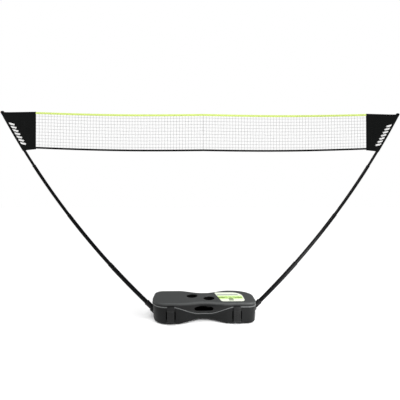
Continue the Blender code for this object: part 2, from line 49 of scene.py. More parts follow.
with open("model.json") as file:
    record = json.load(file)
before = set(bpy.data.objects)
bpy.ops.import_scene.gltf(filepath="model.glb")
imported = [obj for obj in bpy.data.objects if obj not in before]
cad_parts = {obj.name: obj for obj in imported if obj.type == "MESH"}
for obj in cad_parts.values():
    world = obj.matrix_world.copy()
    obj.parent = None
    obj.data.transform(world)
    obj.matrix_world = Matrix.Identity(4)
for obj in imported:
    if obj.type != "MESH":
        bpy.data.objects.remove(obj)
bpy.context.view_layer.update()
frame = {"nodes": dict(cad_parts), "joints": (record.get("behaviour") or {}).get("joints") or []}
JOINTS = {joint["name"]: joint for joint in frame["joints"]}
SIDES = (("left", -1.0), ("right", 1.0))

# The case, in the frame's metres ------------------------------------------------
LID_LOW, LID_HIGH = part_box("base_lid")
CASE_LENGTH = LID_HIGH[0] - LID_LOW[0]
CASE_DEPTH = 0.250
CASE_WAIST = 0.152
CASE_TOP = LID_HIGH[2]
CASE_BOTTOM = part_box("base_tub")[0][2]
CASE_WALL = 0.0035
WIDE_CORNER = 0.115       # plan radius of the back right and front left corners
LONG_CORNER = 0.158       # length along X of the back right one
TIGHT_CORNER = 0.060
HINGE_Y, PARTING = JOINTS["lid_hinge"]["pos_m"][1:]
DRAFT = 0.022             # share by which the tub's ends come in at the floor
BOTTOM_ROUNDING = (0.011, 0.012)    # how far in and up the bottom's rounding reaches
WAIST_ARCH = 0.007        # how far the underside rises at the waist
TUCK = 0.014              # how much deeper and higher its rounding is there
TUCK_REACH = 0.200
LENS_DROP = 0.056         # how far the lid's front dips at the waist
LENS_SWELL = 0.030        # how far it stands out there
LENS_FLAT = 0.035         # half length of its level middle
LENS_REACH = 0.180        # length of the slope on each side of that
HALF_GAP = 0.00015        # half the clearance between tub and lid
RIM_SWELL = 0.45          # share of the swell where tub and lid meet
RIM_DEEPENING = 1.9       # share by which the rim stands out further at the dip
RIM_CLEARING = 0.034      # length on each side of a hinge where the rim lies flat
PAINTED_SHADE_FADE = (0.020, 0.007)          # below the top, where the painted shade of the sides begins
CUP_RADIUS = 0.041
CUP_DEPTH = 0.055
CUP_CENTRES = ((-0.085, 0.018), (0.039, -0.030))
GRIP_LENGTH = 0.134
GRIP_HEIGHT = 0.036
GRIP_Z = 0.1045
GRIP_ROUNDING = 0.8       # 1 is an ellipse; less is squarer
HINGE_X = 0.192
HINGE_RADIUS = 0.0055
PIN_BORE = 0.0022
KNUCKLE_WALL = CASE_DEPTH / 2 - 0.003
KNUCKLE_TAIL = (0.0045, 0.016)      # how far from the pin's line the tail meets the wall
LATCH_X, LATCH_Y, LATCH_FOOT = JOINTS["latch_right_hinge"]["pos_m"]
LATCH_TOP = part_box("latch_right")[1][2]
LATCH_WIDTH = 0.050
LATCH_LEDGE = 0.104       # height of the thumb ledge on its face
SLOT_OFFSET = 0.0295      # finger slots through the tub's wall, from the latch's middle
SLOT_WIDTH = 0.008
SLOT_SPAN = (0.036, 0.093)

# The bowed poles ----------------------------------------------------------------
BOW_CENTRE = Vector(JOINTS["pole_slide_2_right"]["pos_m"])
POLE_BOW = 5.643          # radius of the bowed pole's line
POLE_LEAN = math.radians(43.97)
TUBE_RADII = (0.0152, 0.0130, 0.0110, 0.0090)
TUBE_WALL = 0.0012
POLE_TIP = 1.7685         # distance along the pole from its start to the tip
TUBE_ENDS = ((-0.105, 0.400), (0.340, 0.870), (0.810, 1.315), (1.255, POLE_TIP))
SOCKET_SPAN = (-0.116, 0.010)
SOCKET_RADIUS = 0.0184
SOCKET_BORE = 0.0156
PLATE_SPAN = (0.314, 0.344)         # X of the bracket plate under a socket
PLATE_HALF_WIDTH = 0.042
PLATE_THICK = 0.003
WEB_HALF_WIDTH = 0.011

# The cloth ----------------------------------------------------------------------
POCKET_EDGE = 1.2310
POCKET_TOP = 1.5145
POCKET_BOTTOM = 1.239
SLEEVE_START = 1.446      # distances along the pole
SLEEVE_TOP = POLE_TIP - 0.0025
HOOD_TOP = POLE_TIP + 0.0062
SLEEVE_RADIUS = 0.0110
TOP_TAPE = 0.0140
BOTTOM_TAPE = 0.0130
NET_TOP = 1.513           # height of the top tape's upper edge at the pockets
TOP_SAG = 0.009           # how far each half of it sags
TOP_DROOP = 0.007         # how much lower it is at the net's middle
NET_BOTTOM = 1.244        # the same three for the bottom tape's lower edge
BOTTOM_SAG = 0.010
BOTTOM_DROOP = 0.015
SEAM_GAP = 0.00015
MESH_START = SEAM_GAP + 0.001
MESH_LENGTH = POCKET_EDGE - 0.0030
NET_COLUMNS = 56
NET_ROWS = 11


# Settings -----------------------------------------------------------------------
class CaseSettings(bpy.types.PropertyGroup):
    """Sizes and colours of the case."""
    lid_colour: bpy.props.FloatVectorProperty(
        name="Lid colour", description="Base colour of the lid", subtype="COLOR", size=3,
        default=(0.044, 0.046, 0.046), min=0.0, max=1.0)
    tub_colour: bpy.props.FloatVectorProperty(
        name="Tub colour", description="Base colour of the tub", subtype="COLOR", size=3,
        default=(0.006, 0.0063, 0.0064), min=0.0, max=1.0)
    bead: bpy.props.FloatProperty(
        name="Edge bead", description="How far the bead along the lid's edge stands out",
        subtype="DISTANCE", unit="LENGTH", default=0.0018, min=0.0005, max=0.002)
    grain: bpy.props.FloatProperty(
        name="Grain", description="Size of the moulded grain", subtype="DISTANCE",
        unit="LENGTH", default=0.0008, min=0.0002, max=0.005)


class PoleSettings(bpy.types.PropertyGroup):
    """Finish of the tubes."""
    colour: bpy.props.FloatVectorProperty(
        name="Tube colour", description="Colour of the coating", subtype="COLOR", size=3,
        default=(0.003, 0.003, 0.0033), min=0.0, max=1.0)
    sides: bpy.props.IntProperty(
        name="Sides", description="Faces around a tube", default=36, min=12, max=96)
    lip: bpy.props.FloatProperty(
        name="Mouth lip", description="Height of the rolled lip at a tube's mouth",
        subtype="DISTANCE", unit="LENGTH", default=0.0006, min=0.0, max=0.001)


class ClothSettings(bpy.types.PropertyGroup):
    """Thread sizes and colours of the net."""
    tape_colour: bpy.props.FloatVectorProperty(
        name="Top tape colour", description="Colour of the tape along the top", subtype="COLOR",
        size=3, default=(0.60, 0.74, 0.19), min=0.0, max=1.0)
    pocket_colour: bpy.props.FloatVectorProperty(
        name="Pocket colour", description="Colour of the end pockets", subtype="COLOR",
        size=3, default=(0.0030, 0.0033, 0.0033), min=0.0, max=1.0)
    twine: bpy.props.FloatProperty(
        name="Twine", description="Thickness of the mesh twine", subtype="DISTANCE",
        unit="LENGTH", default=0.0013, min=0.0004, max=0.003)
    thread: bpy.props.FloatProperty(
        name="Thread pitch", description="Spacing of the threads in the woven cloth",
        subtype="DISTANCE", unit="LENGTH", default=0.0009, min=0.0003, max=0.003)


# Shaders ------------------------------------------------------------------------
def feed(tree, slot, value):
    """Link a Wire to a socket, or set the socket to a plain value."""
    if isinstance(value, Wire):
        tree.links.new(value.socket, slot)
    else:
        slot.default_value = value


class Wire:
    """A socket whose arithmetic adds Math nodes to the tree that it belongs to."""

    def __init__(self, tree, socket):
        self.tree = tree
        self.socket = socket

    def calc(self, operation, *values):
        node = self.tree.nodes.new("ShaderNodeMath")
        node.operation = operation
        for slot, value in zip(node.inputs, values):
            feed(self.tree, slot, value)
        return Wire(self.tree, node.outputs[0])

    def __add__(self, other):
        return self.calc("ADD", self, other)

    def __radd__(self, other):
        return self.calc("ADD", other, self)

    def __sub__(self, other):
        return self.calc("SUBTRACT", self, other)

    def __rsub__(self, other):
        return self.calc("SUBTRACT", other, self)

    def __mul__(self, other):
        return self.calc("MULTIPLY", self, other)

    def __rmul__(self, other):
        return self.calc("MULTIPLY", other, self)

    def __truediv__(self, other):
        return self.calc("DIVIDE", self, other)

    def __gt__(self, other):
        return self.calc("GREATER_THAN", self, other)

    def __lt__(self, other):
        return self.calc("LESS_THAN", self, other)

    def sine(self):
        return self.calc("SINE", self)

    def part(self):
        return self.calc("FRACT", self)

    def size(self):
        return self.calc("ABSOLUTE", self)

    def within(self, low, high):
        return (self > low) * (self < high)


def opaque(colour):
    return colour if isinstance(colour, Wire) else (*colour, 1.0)


class Finish:
    """A Principled material under construction."""

    def __init__(self, name, roughness, metallic=0.0, **constants):
        self.material = bpy.data.materials.new(name)
        self.material.use_nodes = True
        self.tree = self.material.node_tree
        self.shader = self.tree.nodes["Principled BSDF"]
        self.shader.inputs["Roughness"].default_value = roughness
        self.shader.inputs["Metallic"].default_value = metallic
        for key, value in constants.items():
            socket = key.replace("_", " ").title().replace("Ior", "IOR")
            self.shader.inputs[socket].default_value = value

    def node(self, kind, settings=None, **inputs):
        """Any node: its settings first, then its sockets by name, as values or Wires."""
        made = self.tree.nodes.new(kind)
        for key, value in (settings or {}).items():
            setattr(made, key, value)
        for key, value in inputs.items():
            self.plug(made.inputs[key.replace("_", " ")], value)
        return made

    def plug(self, slot, value):
        feed(self.tree, slot, value)

    def wire(self, node, output=0):
        return Wire(self.tree, node.outputs[output])

    def place(self, kind="Object"):
        return self.wire(self.node("ShaderNodeTexCoord"), kind)

    def axes(self, vector):
        split = self.node("ShaderNodeSeparateXYZ", Vector=vector)
        return [self.wire(split, axis) for axis in "XYZ"]

    def noise(self, vector, scale, detail=3.0, rough=0.55):
        return self.wire(self.node("ShaderNodeTexNoise", Vector=vector, Scale=scale,
                                   Detail=detail, Roughness=rough), "Fac")

    def spread(self, value, low, high, to_low=0.0, to_high=1.0):
        """Value taken from one range to another and held inside it."""
        ranged = self.node("ShaderNodeMapRange", {"clamp": True}, Value=value)
        for slot, number in zip(ranged.inputs[1:5], (low, high, to_low, to_high)):
            slot.default_value = number
        return self.wire(ranged, "Result")

    def blend(self, share, first, second):
        """Mix two colours; each is an RGB tuple or a Wire."""
        mix = self.node("ShaderNodeMix", {"data_type": "RGBA"})
        self.plug(mix.inputs[0], share)
        for slot, colour in ((mix.inputs[6], first), (mix.inputs[7], second)):
            self.plug(slot, opaque(colour))
        return Wire(self.tree, mix.outputs[2])

    def base(self, colour):
        self.plug(self.shader.inputs["Base Color"], opaque(colour))

    def rough(self, value):
        self.plug(self.shader.inputs["Roughness"], value)

    def bump(self, height, distance, strength=1.0):
        bump = self.node("ShaderNodeBump", Height=height, Distance=distance, Strength=strength)
        self.plug(self.shader.inputs["Normal"], self.wire(bump))


def tinted(colour, factor):
    return tuple(min(1.0, part * factor) for part in colour)


def moulded_plastic(name, colour, grain, roughness=0.42, shine=0.30, painted_side_shade=1.0):
    """Spark-textured plastic with a soft mottle, faint scuffs and dull patches.

    Below the lid's top the colour is multiplied by painted_side_shade: painted shade on the
    sides, which catch less light than the top.
    """
    made = Finish(name, roughness, specular_ior_level=shine)
    place = made.place()
    mottle = made.noise(place, 9.0)
    scuffs = made.spread(made.noise(place, 140.0, 8.0, 0.75), 0.64, 0.76)
    patches = made.spread(made.noise(place, 22.0, 2.0), 0.45, 0.62)
    base = made.blend(mottle, tinted(colour, 0.86), tinted(colour, 1.14))
    base = made.blend(scuffs * patches * 0.35, base, tinted(colour, 2.2))
    # Painted shade: below the top the colour darkens to the given share of itself, for the sides
    # that catch less light.
    if painted_side_shade < 1.0:
        low, high = (CASE_TOP - drop for drop in PAINTED_SHADE_FADE)
        below = made.spread(made.axes(place)[2], low, high, 1.0, 0.0)
        base = made.blend(below, base, tinted(colour, painted_side_shade))
    made.base(base)
    made.rough(made.spread(mottle + scuffs * 0.5, 0.2, 1.1, roughness - 0.07, roughness + 0.14))
    fine = made.noise(place, 1.0 / grain, 2.0)
    made.bump(fine + made.noise(place, 260.0, 4.0) * 0.5, 0.00006, 0.8)
    return made.material


def tube_lacquer(name, colour):
    """Gloss coating with fine orange peel and hairline rubs."""
    made = Finish(name, 0.24, specular_ior_level=0.06, coat_roughness=0.16)
    place = made.place()
    rubs = made.spread(made.noise(place, 420.0, 6.0, 0.8), 0.62, 0.74)
    wear = made.spread(made.noise(place, 14.0, 3.0), 0.50, 0.66)
    made.base(made.blend(rubs * wear * 0.4, colour, tinted(colour, 4.0)))
    made.rough(made.spread(rubs * wear, 0.0, 1.0, 0.22, 0.46))
    made.plug(made.shader.inputs["Coat Weight"], made.spread(wear, 0.0, 1.0, 0.07, 0.03))
    made.bump(made.noise(place, 520.0, 2.0), 0.00003, 0.6)
    return made.material


def woven(made, pitch):
    """Height of a plain weave over UVs in metres, and the UV's two wires."""
    across, along, _ = made.axes(made.place("UV"))
    turn = 2.0 * math.pi / pitch
    warp, weft = (across * turn).sine(), (along * turn).sine()
    over = (across * (turn / 2)).sine() * (along * (turn / 2)).sine()
    height = warp.size() * (over > 0.0) + weft.size() * (over < 0.0)
    return height, across, along


def plain_cloth(name, colour, pitch, thread_top_highlight=1.5):
    """Woven polyester with lint, faint creases and a painted highlight on the thread tops."""
    made = Finish(name, 0.85, specular_ior_level=0.08, sheen_weight=0.01, sheen_roughness=0.5)
    height, _, _ = woven(made, pitch)
    place = made.place()
    mottle = made.noise(place, 30.0)
    base = made.blend(mottle, tinted(colour, 0.8), tinted(colour, 1.25))
    # Painted highlight: the raised threads are made lighter than the cloth's colour.
    made.base(made.blend(height * 0.5, base, tinted(colour, thread_top_highlight)))
    made.rough(made.spread(mottle, 0.3, 0.7, 0.78, 0.92))
    made.bump(height + made.noise(place, 900.0, 2.0) * 0.4, 0.00022, 0.7)
    return made


def tape_cloth(name, colour, pitch, height_m):
    """Edge tape: ribbed webbing with a row of stitches near its free edge."""
    made = Finish(name, 0.75, specular_ior_level=0.06, sheen_weight=0.01, sheen_roughness=0.5)
    weave, across, along = woven(made, pitch)
    stitch_row = across.within(height_m * 0.74, height_m * 0.82)
    stitches = stitch_row * ((along / 0.0042).part() < 0.68)
    place = made.place()
    mottle = made.noise(place, 45.0)
    base = made.blend(mottle, tinted(colour, 0.88), tinted(colour, 1.1))
    # Painted highlight: the weave's raised threads are made 1.25 times lighter.
    base = made.blend(weave * 0.35, base, tinted(colour, 1.25))
    made.base(made.blend(stitches * 0.55, base, tinted(colour, 0.45)))
    made.rough(made.spread(mottle, 0.3, 0.7, 0.68, 0.84))
    made.bump(weave + stitches * 1.8, 0.00025, 0.8)
    return made.material


def twine_finish(name, colour):
    """Dull twisted twine."""
    made = Finish(name, 0.85, specular_ior_level=0.2)
    place = made.place()
    fibres = made.noise(place, 1500.0, 3.0)
    made.base(made.blend(fibres, tinted(colour, 0.7), tinted(colour, 1.6)))
    made.rough(made.spread(fibres, 0.3, 0.7, 0.75, 0.95))
    made.bump(fibres, 0.0002, 0.8)
    return made.material


def printed_film(name, low, high):
    """A white film printed with plain rules, a green field and a grey block."""
    white, lime, green = (0.70, 0.74, 0.62), (0.50, 0.72, 0.20), (0.22, 0.42, 0.03)
    ink, olive, grey = (0.14, 0.16, 0.15), (0.08, 0.11, 0.02), (0.14, 0.18, 0.09)
    made = Finish(name, 0.30, specular_ior_level=0.5)
    place = made.place()
    x, y, _ = made.axes(place)
    wide = (x - low[0]) / (high[0] - low[0])
    deep = (y - low[1]) / (high[1] - low[1])
    rule = deep.within(0.67, 0.75) * wide.within(0.07, 0.84)
    ends = deep.within(0.36, 0.44) * (wide.within(0.05, 0.34) + wide.within(0.70, 0.96))
    field = deep.within(0.24, 0.60) * wide.within(0.06, 0.97)
    stripes = ((wide * 7.0 + deep * 1.5).part() < 0.70) * deep.within(0.30, 0.50)
    block = deep.within(0.06, 0.36) * wide.within(0.46, 0.62)
    colour = made.blend(field * 0.75, white, lime)
    colour = made.blend(stripes * wide.within(0.12, 0.94) * 0.6, colour, green)
    colour = made.blend(rule * 0.9, colour, ink)
    colour = made.blend(ends * 0.8, colour, olive)
    colour = made.blend(block * 0.8, colour, grey)
    made.base(colour)
    made.rough(made.spread(made.noise(place, 60.0), 0.3, 0.7, 0.26, 0.38))
    made.bump(made.noise(place, 200.0), 0.00002, 0.4)
    return made.material


def pocket_cloth(name, colour, pitch):
    """Pocket cloth with a generic row of slanted pale bars printed along the pole."""
    made = plain_cloth(name, colour, pitch, 1.6)
    across, along, _ = made.axes(made.place("UV"))
    first_bar, bar_pitch, bar_count = 1.492, 0.0275, 7.0
    near, middle, far, slant = 0.026, 0.040, 0.052, 0.35
    reach = across.size()
    slanted = along + (reach - middle) * slant
    count = (slanted - first_bar) / bar_pitch
    bars = (count.part() < 0.62) * count.within(0.0, bar_count)
    tall = (count.part() > 0.31) * 0.006
    print_mask = bars * (reach > near) * ((reach - tall) < far)
    ragged = made.spread(made.noise(made.place(), 700.0, 3.0), 0.25, 0.40)
    old = made.shader.inputs["Base Color"].links[0].from_socket
    made.base(made.blend(print_mask * ragged, Wire(made.tree, old), (0.78, 0.78, 0.77)))
    return made.material


def metal(name, colour, roughness):
    """Brushed bare metal."""
    made = Finish(name, roughness, 1.0)
    place = made.place()
    brushed = made.noise(place, 700.0, 4.0)
    made.base(made.blend(brushed, tinted(colour, 0.85), tinted(colour, 1.1)))
    made.rough(made.spread(brushed, 0.3, 0.7, roughness - 0.08, roughness + 0.12))
    made.bump(brushed, 0.00003, 0.5)
    return made.material


# Modelling ----------------------------------------------------------------------
def deselect_all():
    bpy.ops.object.select_all(action="DESELECT")


def activate(*pieces):
    deselect_all()
    for piece in pieces:
        piece.select_set(True)
    bpy.context.view_layer.objects.active = pieces[0]


def added(name):
    """The primitive that was just added, named."""
    piece = bpy.context.active_object
    piece.name = name
    piece.data.name = name
    return piece


def ring_body(name, sides, rings, ends="filled"):
    """A lattice of rings, extruded from one circle.

    Ring number n lies at Z = n and its corner k at the angle of k. Its ends are left
    "open", "filled" or "joined" to each other.
    """
    deselect_all()
    bpy.ops.mesh.primitive_circle_add(vertices=sides, radius=1.0, fill_type="NOTHING",
                                      location=(0.0, 0.0, 0.0))
    piece = added(name)
    bpy.ops.object.mode_set(mode="EDIT")
    bpy.ops.mesh.select_all(action="SELECT")
    for _ in range(rings - 1):
        bpy.ops.mesh.extrude_region_move(TRANSFORM_OT_translate={"value": (0.0, 0.0, 1.0)})
    if ends == "filled":
        bpy.ops.mesh.select_all(action="SELECT")
        bpy.ops.mesh.fill_holes(sides=0)
    elif ends == "joined":
        bpy.ops.mesh.select_all(action="DESELECT")
        bpy.ops.mesh.select_non_manifold(use_wire=False, use_multi_face=False,
                                         use_non_contiguous=False, use_verts=False)
        bpy.ops.mesh.bridge_edge_loops()
    bpy.ops.object.mode_set(mode="OBJECT")
    return piece


def ring_place(co, sides):
    """Which corner and which ring a lattice point is; a circle's first corner is on +Y."""
    corner = round(math.atan2(-co.x, co.y) / (2.0 * math.pi) * sides) % sides
    return corner, round(co.z)


def shape(piece, place):
    """Move every point of a mesh from co to place(co)."""
    for vertex in piece.data.vertices:
        vertex.co = place(vertex.co)
    piece.data.update()


def face_outwards(piece):
    """Merge the doubles of a closed mesh and turn its faces outwards."""
    activate(piece)
    bpy.ops.object.mode_set(mode="EDIT")
    bpy.ops.mesh.select_all(action="SELECT")
    bpy.ops.mesh.remove_doubles(threshold=0.000001)
    bpy.ops.mesh.normals_make_consistent(inside=False)
    bpy.ops.object.mode_set(mode="OBJECT")


def turned(name, profile, place, axis, sides=32):
    """A solid of revolution from (distance along the axis, radius) pairs."""
    axis = Vector(axis).normalized()
    across = axis.orthogonal().normalized()
    other = axis.cross(across)
    piece = ring_body(name, sides, len(profile))

    def point(co):
        corner, ring = ring_place(co, sides)
        along, radius = profile[ring]
        turn = 2.0 * math.pi * corner / sides
        spoke = math.cos(turn) * across + math.sin(turn) * other
        return Vector(place) + axis * along + radius * spoke

    shape(piece, point)
    face_outwards(piece)
    return piece


def bevelled_block(name, low, high, bevel, segments=3):
    deselect_all()
    middle = [(a + b) / 2 for a, b in zip(low, high)]
    size = [b - a for a, b in zip(low, high)]
    bpy.ops.mesh.primitive_cube_add(size=1.0, location=middle, scale=size)
    piece = added(name)
    bpy.ops.object.transform_apply(location=True, rotation=True, scale=True)
    bpy.ops.object.mode_set(mode="EDIT")
    bpy.ops.mesh.select_all(action="SELECT")
    bpy.ops.mesh.bevel(offset=bevel, segments=segments, affect="EDGES")
    bpy.ops.object.mode_set(mode="OBJECT")
    return piece


def outline_block(name, outline, start, end, bevel=0.0):
    """A closed outline of points, filled and extruded from start to end."""
    count = len(outline)
    piece = ring_body(name, count, 2)
    shifts = (Vector(start), Vector(end))

    def point(co):
        corner, ring = ring_place(co, count)
        return Vector(outline[corner]) + shifts[ring]

    shape(piece, point)
    face_outwards(piece)
    if bevel:
        softened(piece, bevel, 2, 40.0)
    return piece


def applied(piece, kind, **settings):
    """Add a modifier and apply it."""
    activate(piece)
    step = piece.modifiers.new(kind, kind)
    for key, value in settings.items():
        setattr(step, key, value)
    bpy.ops.object.modifier_apply(modifier=step.name)


def softened(piece, width, segments=2, angle=35.0):
    applied(piece, "BEVEL", width=width, segments=segments, limit_method="ANGLE",
            angle_limit=math.radians(angle), harden_normals=False)


def carved(piece, tool, operation="DIFFERENCE"):
    applied(piece, "BOOLEAN", object=tool, operation=operation, solver="EXACT")
    bpy.data.objects.remove(tool, do_unlink=True)


def joined(pieces):
    activate(*pieces)
    bpy.ops.object.join()
    return bpy.context.active_object


def finished(piece, body, slot, material, nodes=(), angle=32.0):
    """Shade a piece, give it its finish and tie it to the frame."""
    activate(piece)
    bpy.ops.object.shade_smooth_by_angle(angle=math.radians(angle))
    piece.data.materials.clear()
    piece.data.materials.append(material)
    if body:
        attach(piece, body)
    if nodes:
        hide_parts(*nodes)
    return piece


def spread(start, end, count):
    return [start + (end - start) * k / count for k in range(count + 1)]


# Case outline -------------------------------------------------------------------
LONG_STEPS = 20
CORNER_STEPS = 16


def ease(t):
    """A smooth step from 0 to 1 between t = 0 and t = 1."""
    t = min(1.0, max(0.0, t))
    return t * t * (3.0 - 2.0 * t)


def half_depth(x):
    """Half the case's depth, between its waist and its lobes."""
    lobe, waist = CASE_DEPTH / 2, CASE_WAIST / 2
    return waist + (lobe - waist) * ease((abs(x) - 0.015) / 0.175)


def quarter(corner, reach=None):
    """Points from the middle of one long side round to the end."""
    reach = reach or corner
    flat_x = CASE_LENGTH / 2 - reach
    points = []
    for k in range(LONG_STEPS):
        x = flat_x * k / LONG_STEPS
        points.append((x, half_depth(x)))
    for k in range(CORNER_STEPS + 1):
        turn = math.pi / 2 * k / CORNER_STEPS
        points.append((flat_x + reach * math.sin(turn),
                       CASE_DEPTH / 2 - corner + corner * math.cos(turn)))
    return points


def case_plan():
    """Points and outward normals of the plan, front left to right, then back."""
    wide, long, tight = (quarter(WIDE_CORNER), quarter(WIDE_CORNER, LONG_CORNER),
                         quarter(TIGHT_CORNER))
    points = [(-x, -h) for x, h in reversed(wide[1:])] + [(x, -h) for x, h in tight]
    points += [(x, h) for x, h in reversed(long[1:])] + [(-x, h) for x, h in tight]
    normals = []
    for i, _ in enumerate(points):
        before, after = points[i - 1], points[(i + 1) % len(points)]
        along = Vector((after[0] - before[0], after[1] - before[1])).normalized()
        normals.append((along.y, -along.x))
    return points, normals


PLAN_POINTS, PLAN_NORMALS = case_plan()


def waist_share(x, reach):
    return 1.0 - ease(abs(x) / reach)


def lens_share(x):
    """How much of the dip and swell of the lid's front there is at x."""
    return 1.0 - ease((abs(x) - LENS_FLAT) / LENS_REACH)


def draft(z):
    """How much the plan shrinks along X at a height below the parting line."""
    return 1.0 - DRAFT * max(0.0, PARTING - z) / PARTING


def parting_height(x, y):
    return PARTING - (LENS_DROP * lens_share(x) if y < 0.0 else 0.0)


def floor_height(x):
    return CASE_BOTTOM + WAIST_ARCH * waist_share(x, TUCK_REACH)


def case_point(corner, inset, swell, tuck, height):
    """Where a corner of the plan lies, moved in by inset, out by swell and in by tuck."""
    (x, y), (nx, ny) = PLAN_POINTS[corner], PLAN_NORMALS[corner]
    out = -inset - tuck * TUCK * waist_share(x, TUCK_REACH)
    if y < 0.0:
        out += swell * LENS_SWELL * lens_share(x)
    z = height(x, y)
    return Vector(((x + nx * out) * draft(z), y + ny * out, z))


def case_shell(name, levels):
    """A shell from (inset, swell, tuck, height of x and y) levels, closed at its last one."""
    sides = len(PLAN_POINTS)
    piece = ring_body(name, sides, len(levels), "open")

    def point(co):
        corner, ring = ring_place(co, sides)
        return case_point(corner, *levels[ring])

    close_strips(piece, sides, len(levels) - 1)
    shape(piece, point)
    face_outwards(piece)
    return piece


def close_strips(piece, sides, ring):
    """Close one ring with strips that run from the front edge to the back edge."""
    activate(piece)
    bpy.context.tool_settings.mesh_select_mode = (False, True, False)
    chains = set(range(sides)) - {sides // 2 - 1, sides - 1}
    mesh = piece.data
    for thing in (*mesh.vertices, *mesh.edges, *mesh.polygons):
        thing.select = False
    for edge in mesh.edges:
        places = [ring_place(mesh.vertices[v].co, sides) for v in edge.vertices]
        if all(level == ring for _, level in places):
            corners = sorted(corner for corner, _ in places)
            first = corners[0] if corners[1] - corners[0] == 1 else corners[1]
            edge.select = first in chains
    bpy.ops.object.mode_set(mode="EDIT")
    bpy.ops.mesh.bridge_edge_loops()
    bpy.ops.object.mode_set(mode="OBJECT")
    bpy.context.tool_settings.mesh_select_mode = (True, False, False)


def lid_level(share):
    """Height of a level of the lid, at a share of the way from its edge to its top."""
    def height(x, y):
        low = parting_height(x, y) + HALF_GAP
        return low + share * (CASE_TOP - low)
    return height


def rim_level(drop):
    return lambda x, y: parting_height(x, y) - HALF_GAP - drop


def floor_level(rise, tuck=0.0):
    return lambda x, y: floor_height(x) + rise + tuck * TUCK * waist_share(x, TUCK_REACH)


def knuckle(name, x, half, y, z, wall_y, wall_low, wall_high):
    """A hinge knuckle along X, round x, with a tail that runs into the wall."""
    back = 1.0 if wall_y < y else -1.0
    outline = [(0.0, wall_y, wall_low), (0.0, wall_y, wall_high)]
    for turn in spread(90.0, -90.0, 16):
        angle = math.radians(turn)
        outline.append((0.0, y + back * HINGE_RADIUS * math.cos(angle),
                        z + HINGE_RADIUS * math.sin(angle)))
    return outline_block(name, outline, (x - half, 0, 0), (x + half, 0, 0))


def lid_knuckle(x, half, up):
    """A knuckle on the lid's hinge line: of the lid, up is 1.0; of the tub, -1.0."""
    low, high = sorted(PARTING + up * reach for reach in KNUCKLE_TAIL)
    return knuckle("lug", x, half, HINGE_Y, PARTING, KNUCKLE_WALL, low, high)


def bore(x, y, z, reach):
    return turned("bore", [(-reach, PIN_BORE), (reach, PIN_BORE)], (x, y, z), (1, 0, 0), 24)


# Bowed pole ---------------------------------------------------------------------
def pole_frame(along, side):
    """Point on the pole's line at a distance along it, and the line's normal there."""
    lean = POLE_LEAN + along / POLE_BOW
    point = BOW_CENTRE + POLE_BOW * Vector((math.sin(lean), 0.0, -math.cos(lean)))
    normal = Vector((-math.sin(lean), 0.0, math.cos(lean)))
    point.x *= side
    normal.x *= side
    return point, normal


def bowed(name, profile, side, sides, ends="filled"):
    """A body along the pole's line from (distance, radius) pairs."""
    piece = ring_body(name, sides, len(profile), ends)

    def point(co):
        corner, ring = ring_place(co, sides)
        along, radius = profile[ring]
        centre, normal = pole_frame(along, side)
        turn = 2.0 * math.pi * corner / sides
        return centre + radius * (math.cos(turn) * normal + math.sin(turn) * Vector((0, 1, 0)))

    shape(piece, point)
    face_outwards(piece)
    return piece


# Cloth --------------------------------------------------------------------------
def cloth(name, across, along, point, flat_place, thickness):
    """A grid that point(u, v) puts in its place, with UVs in metres, given a thickness."""
    deselect_all()
    bpy.ops.mesh.primitive_grid_add(x_subdivisions=across, y_subdivisions=along, size=2.0,
                                    location=(0.0, 0.0, 0.0))
    piece = added(name)
    mesh = piece.data
    flat = [((v.co.x + 1.0) / 2.0, (v.co.y + 1.0) / 2.0) for v in mesh.vertices]
    uvs = mesh.uv_layers[0].data
    for loop in mesh.loops:
        uvs[loop.index].uv = flat_place(*flat[loop.vertex_index])
    for vertex, (u, v) in zip(mesh.vertices, flat):
        vertex.co = point(u, v)
    mesh.update()
    if thickness:
        applied(piece, "SOLIDIFY", thickness=thickness, offset=0.0, use_even_offset=True)
    return piece


def sagging(x, end, sag, droop):
    """Height of an edge of the net that starts at end at the pockets."""
    share = min(1.0, abs(x) / POCKET_EDGE)
    return end - sag * math.sin(math.pi * share) - droop * (1.0 - share)


def top_line(x):
    return sagging(x, NET_TOP, TOP_SAG, TOP_DROOP)


def bottom_line(x):
    return sagging(x, NET_BOTTOM, BOTTOM_SAG, BOTTOM_DROOP)


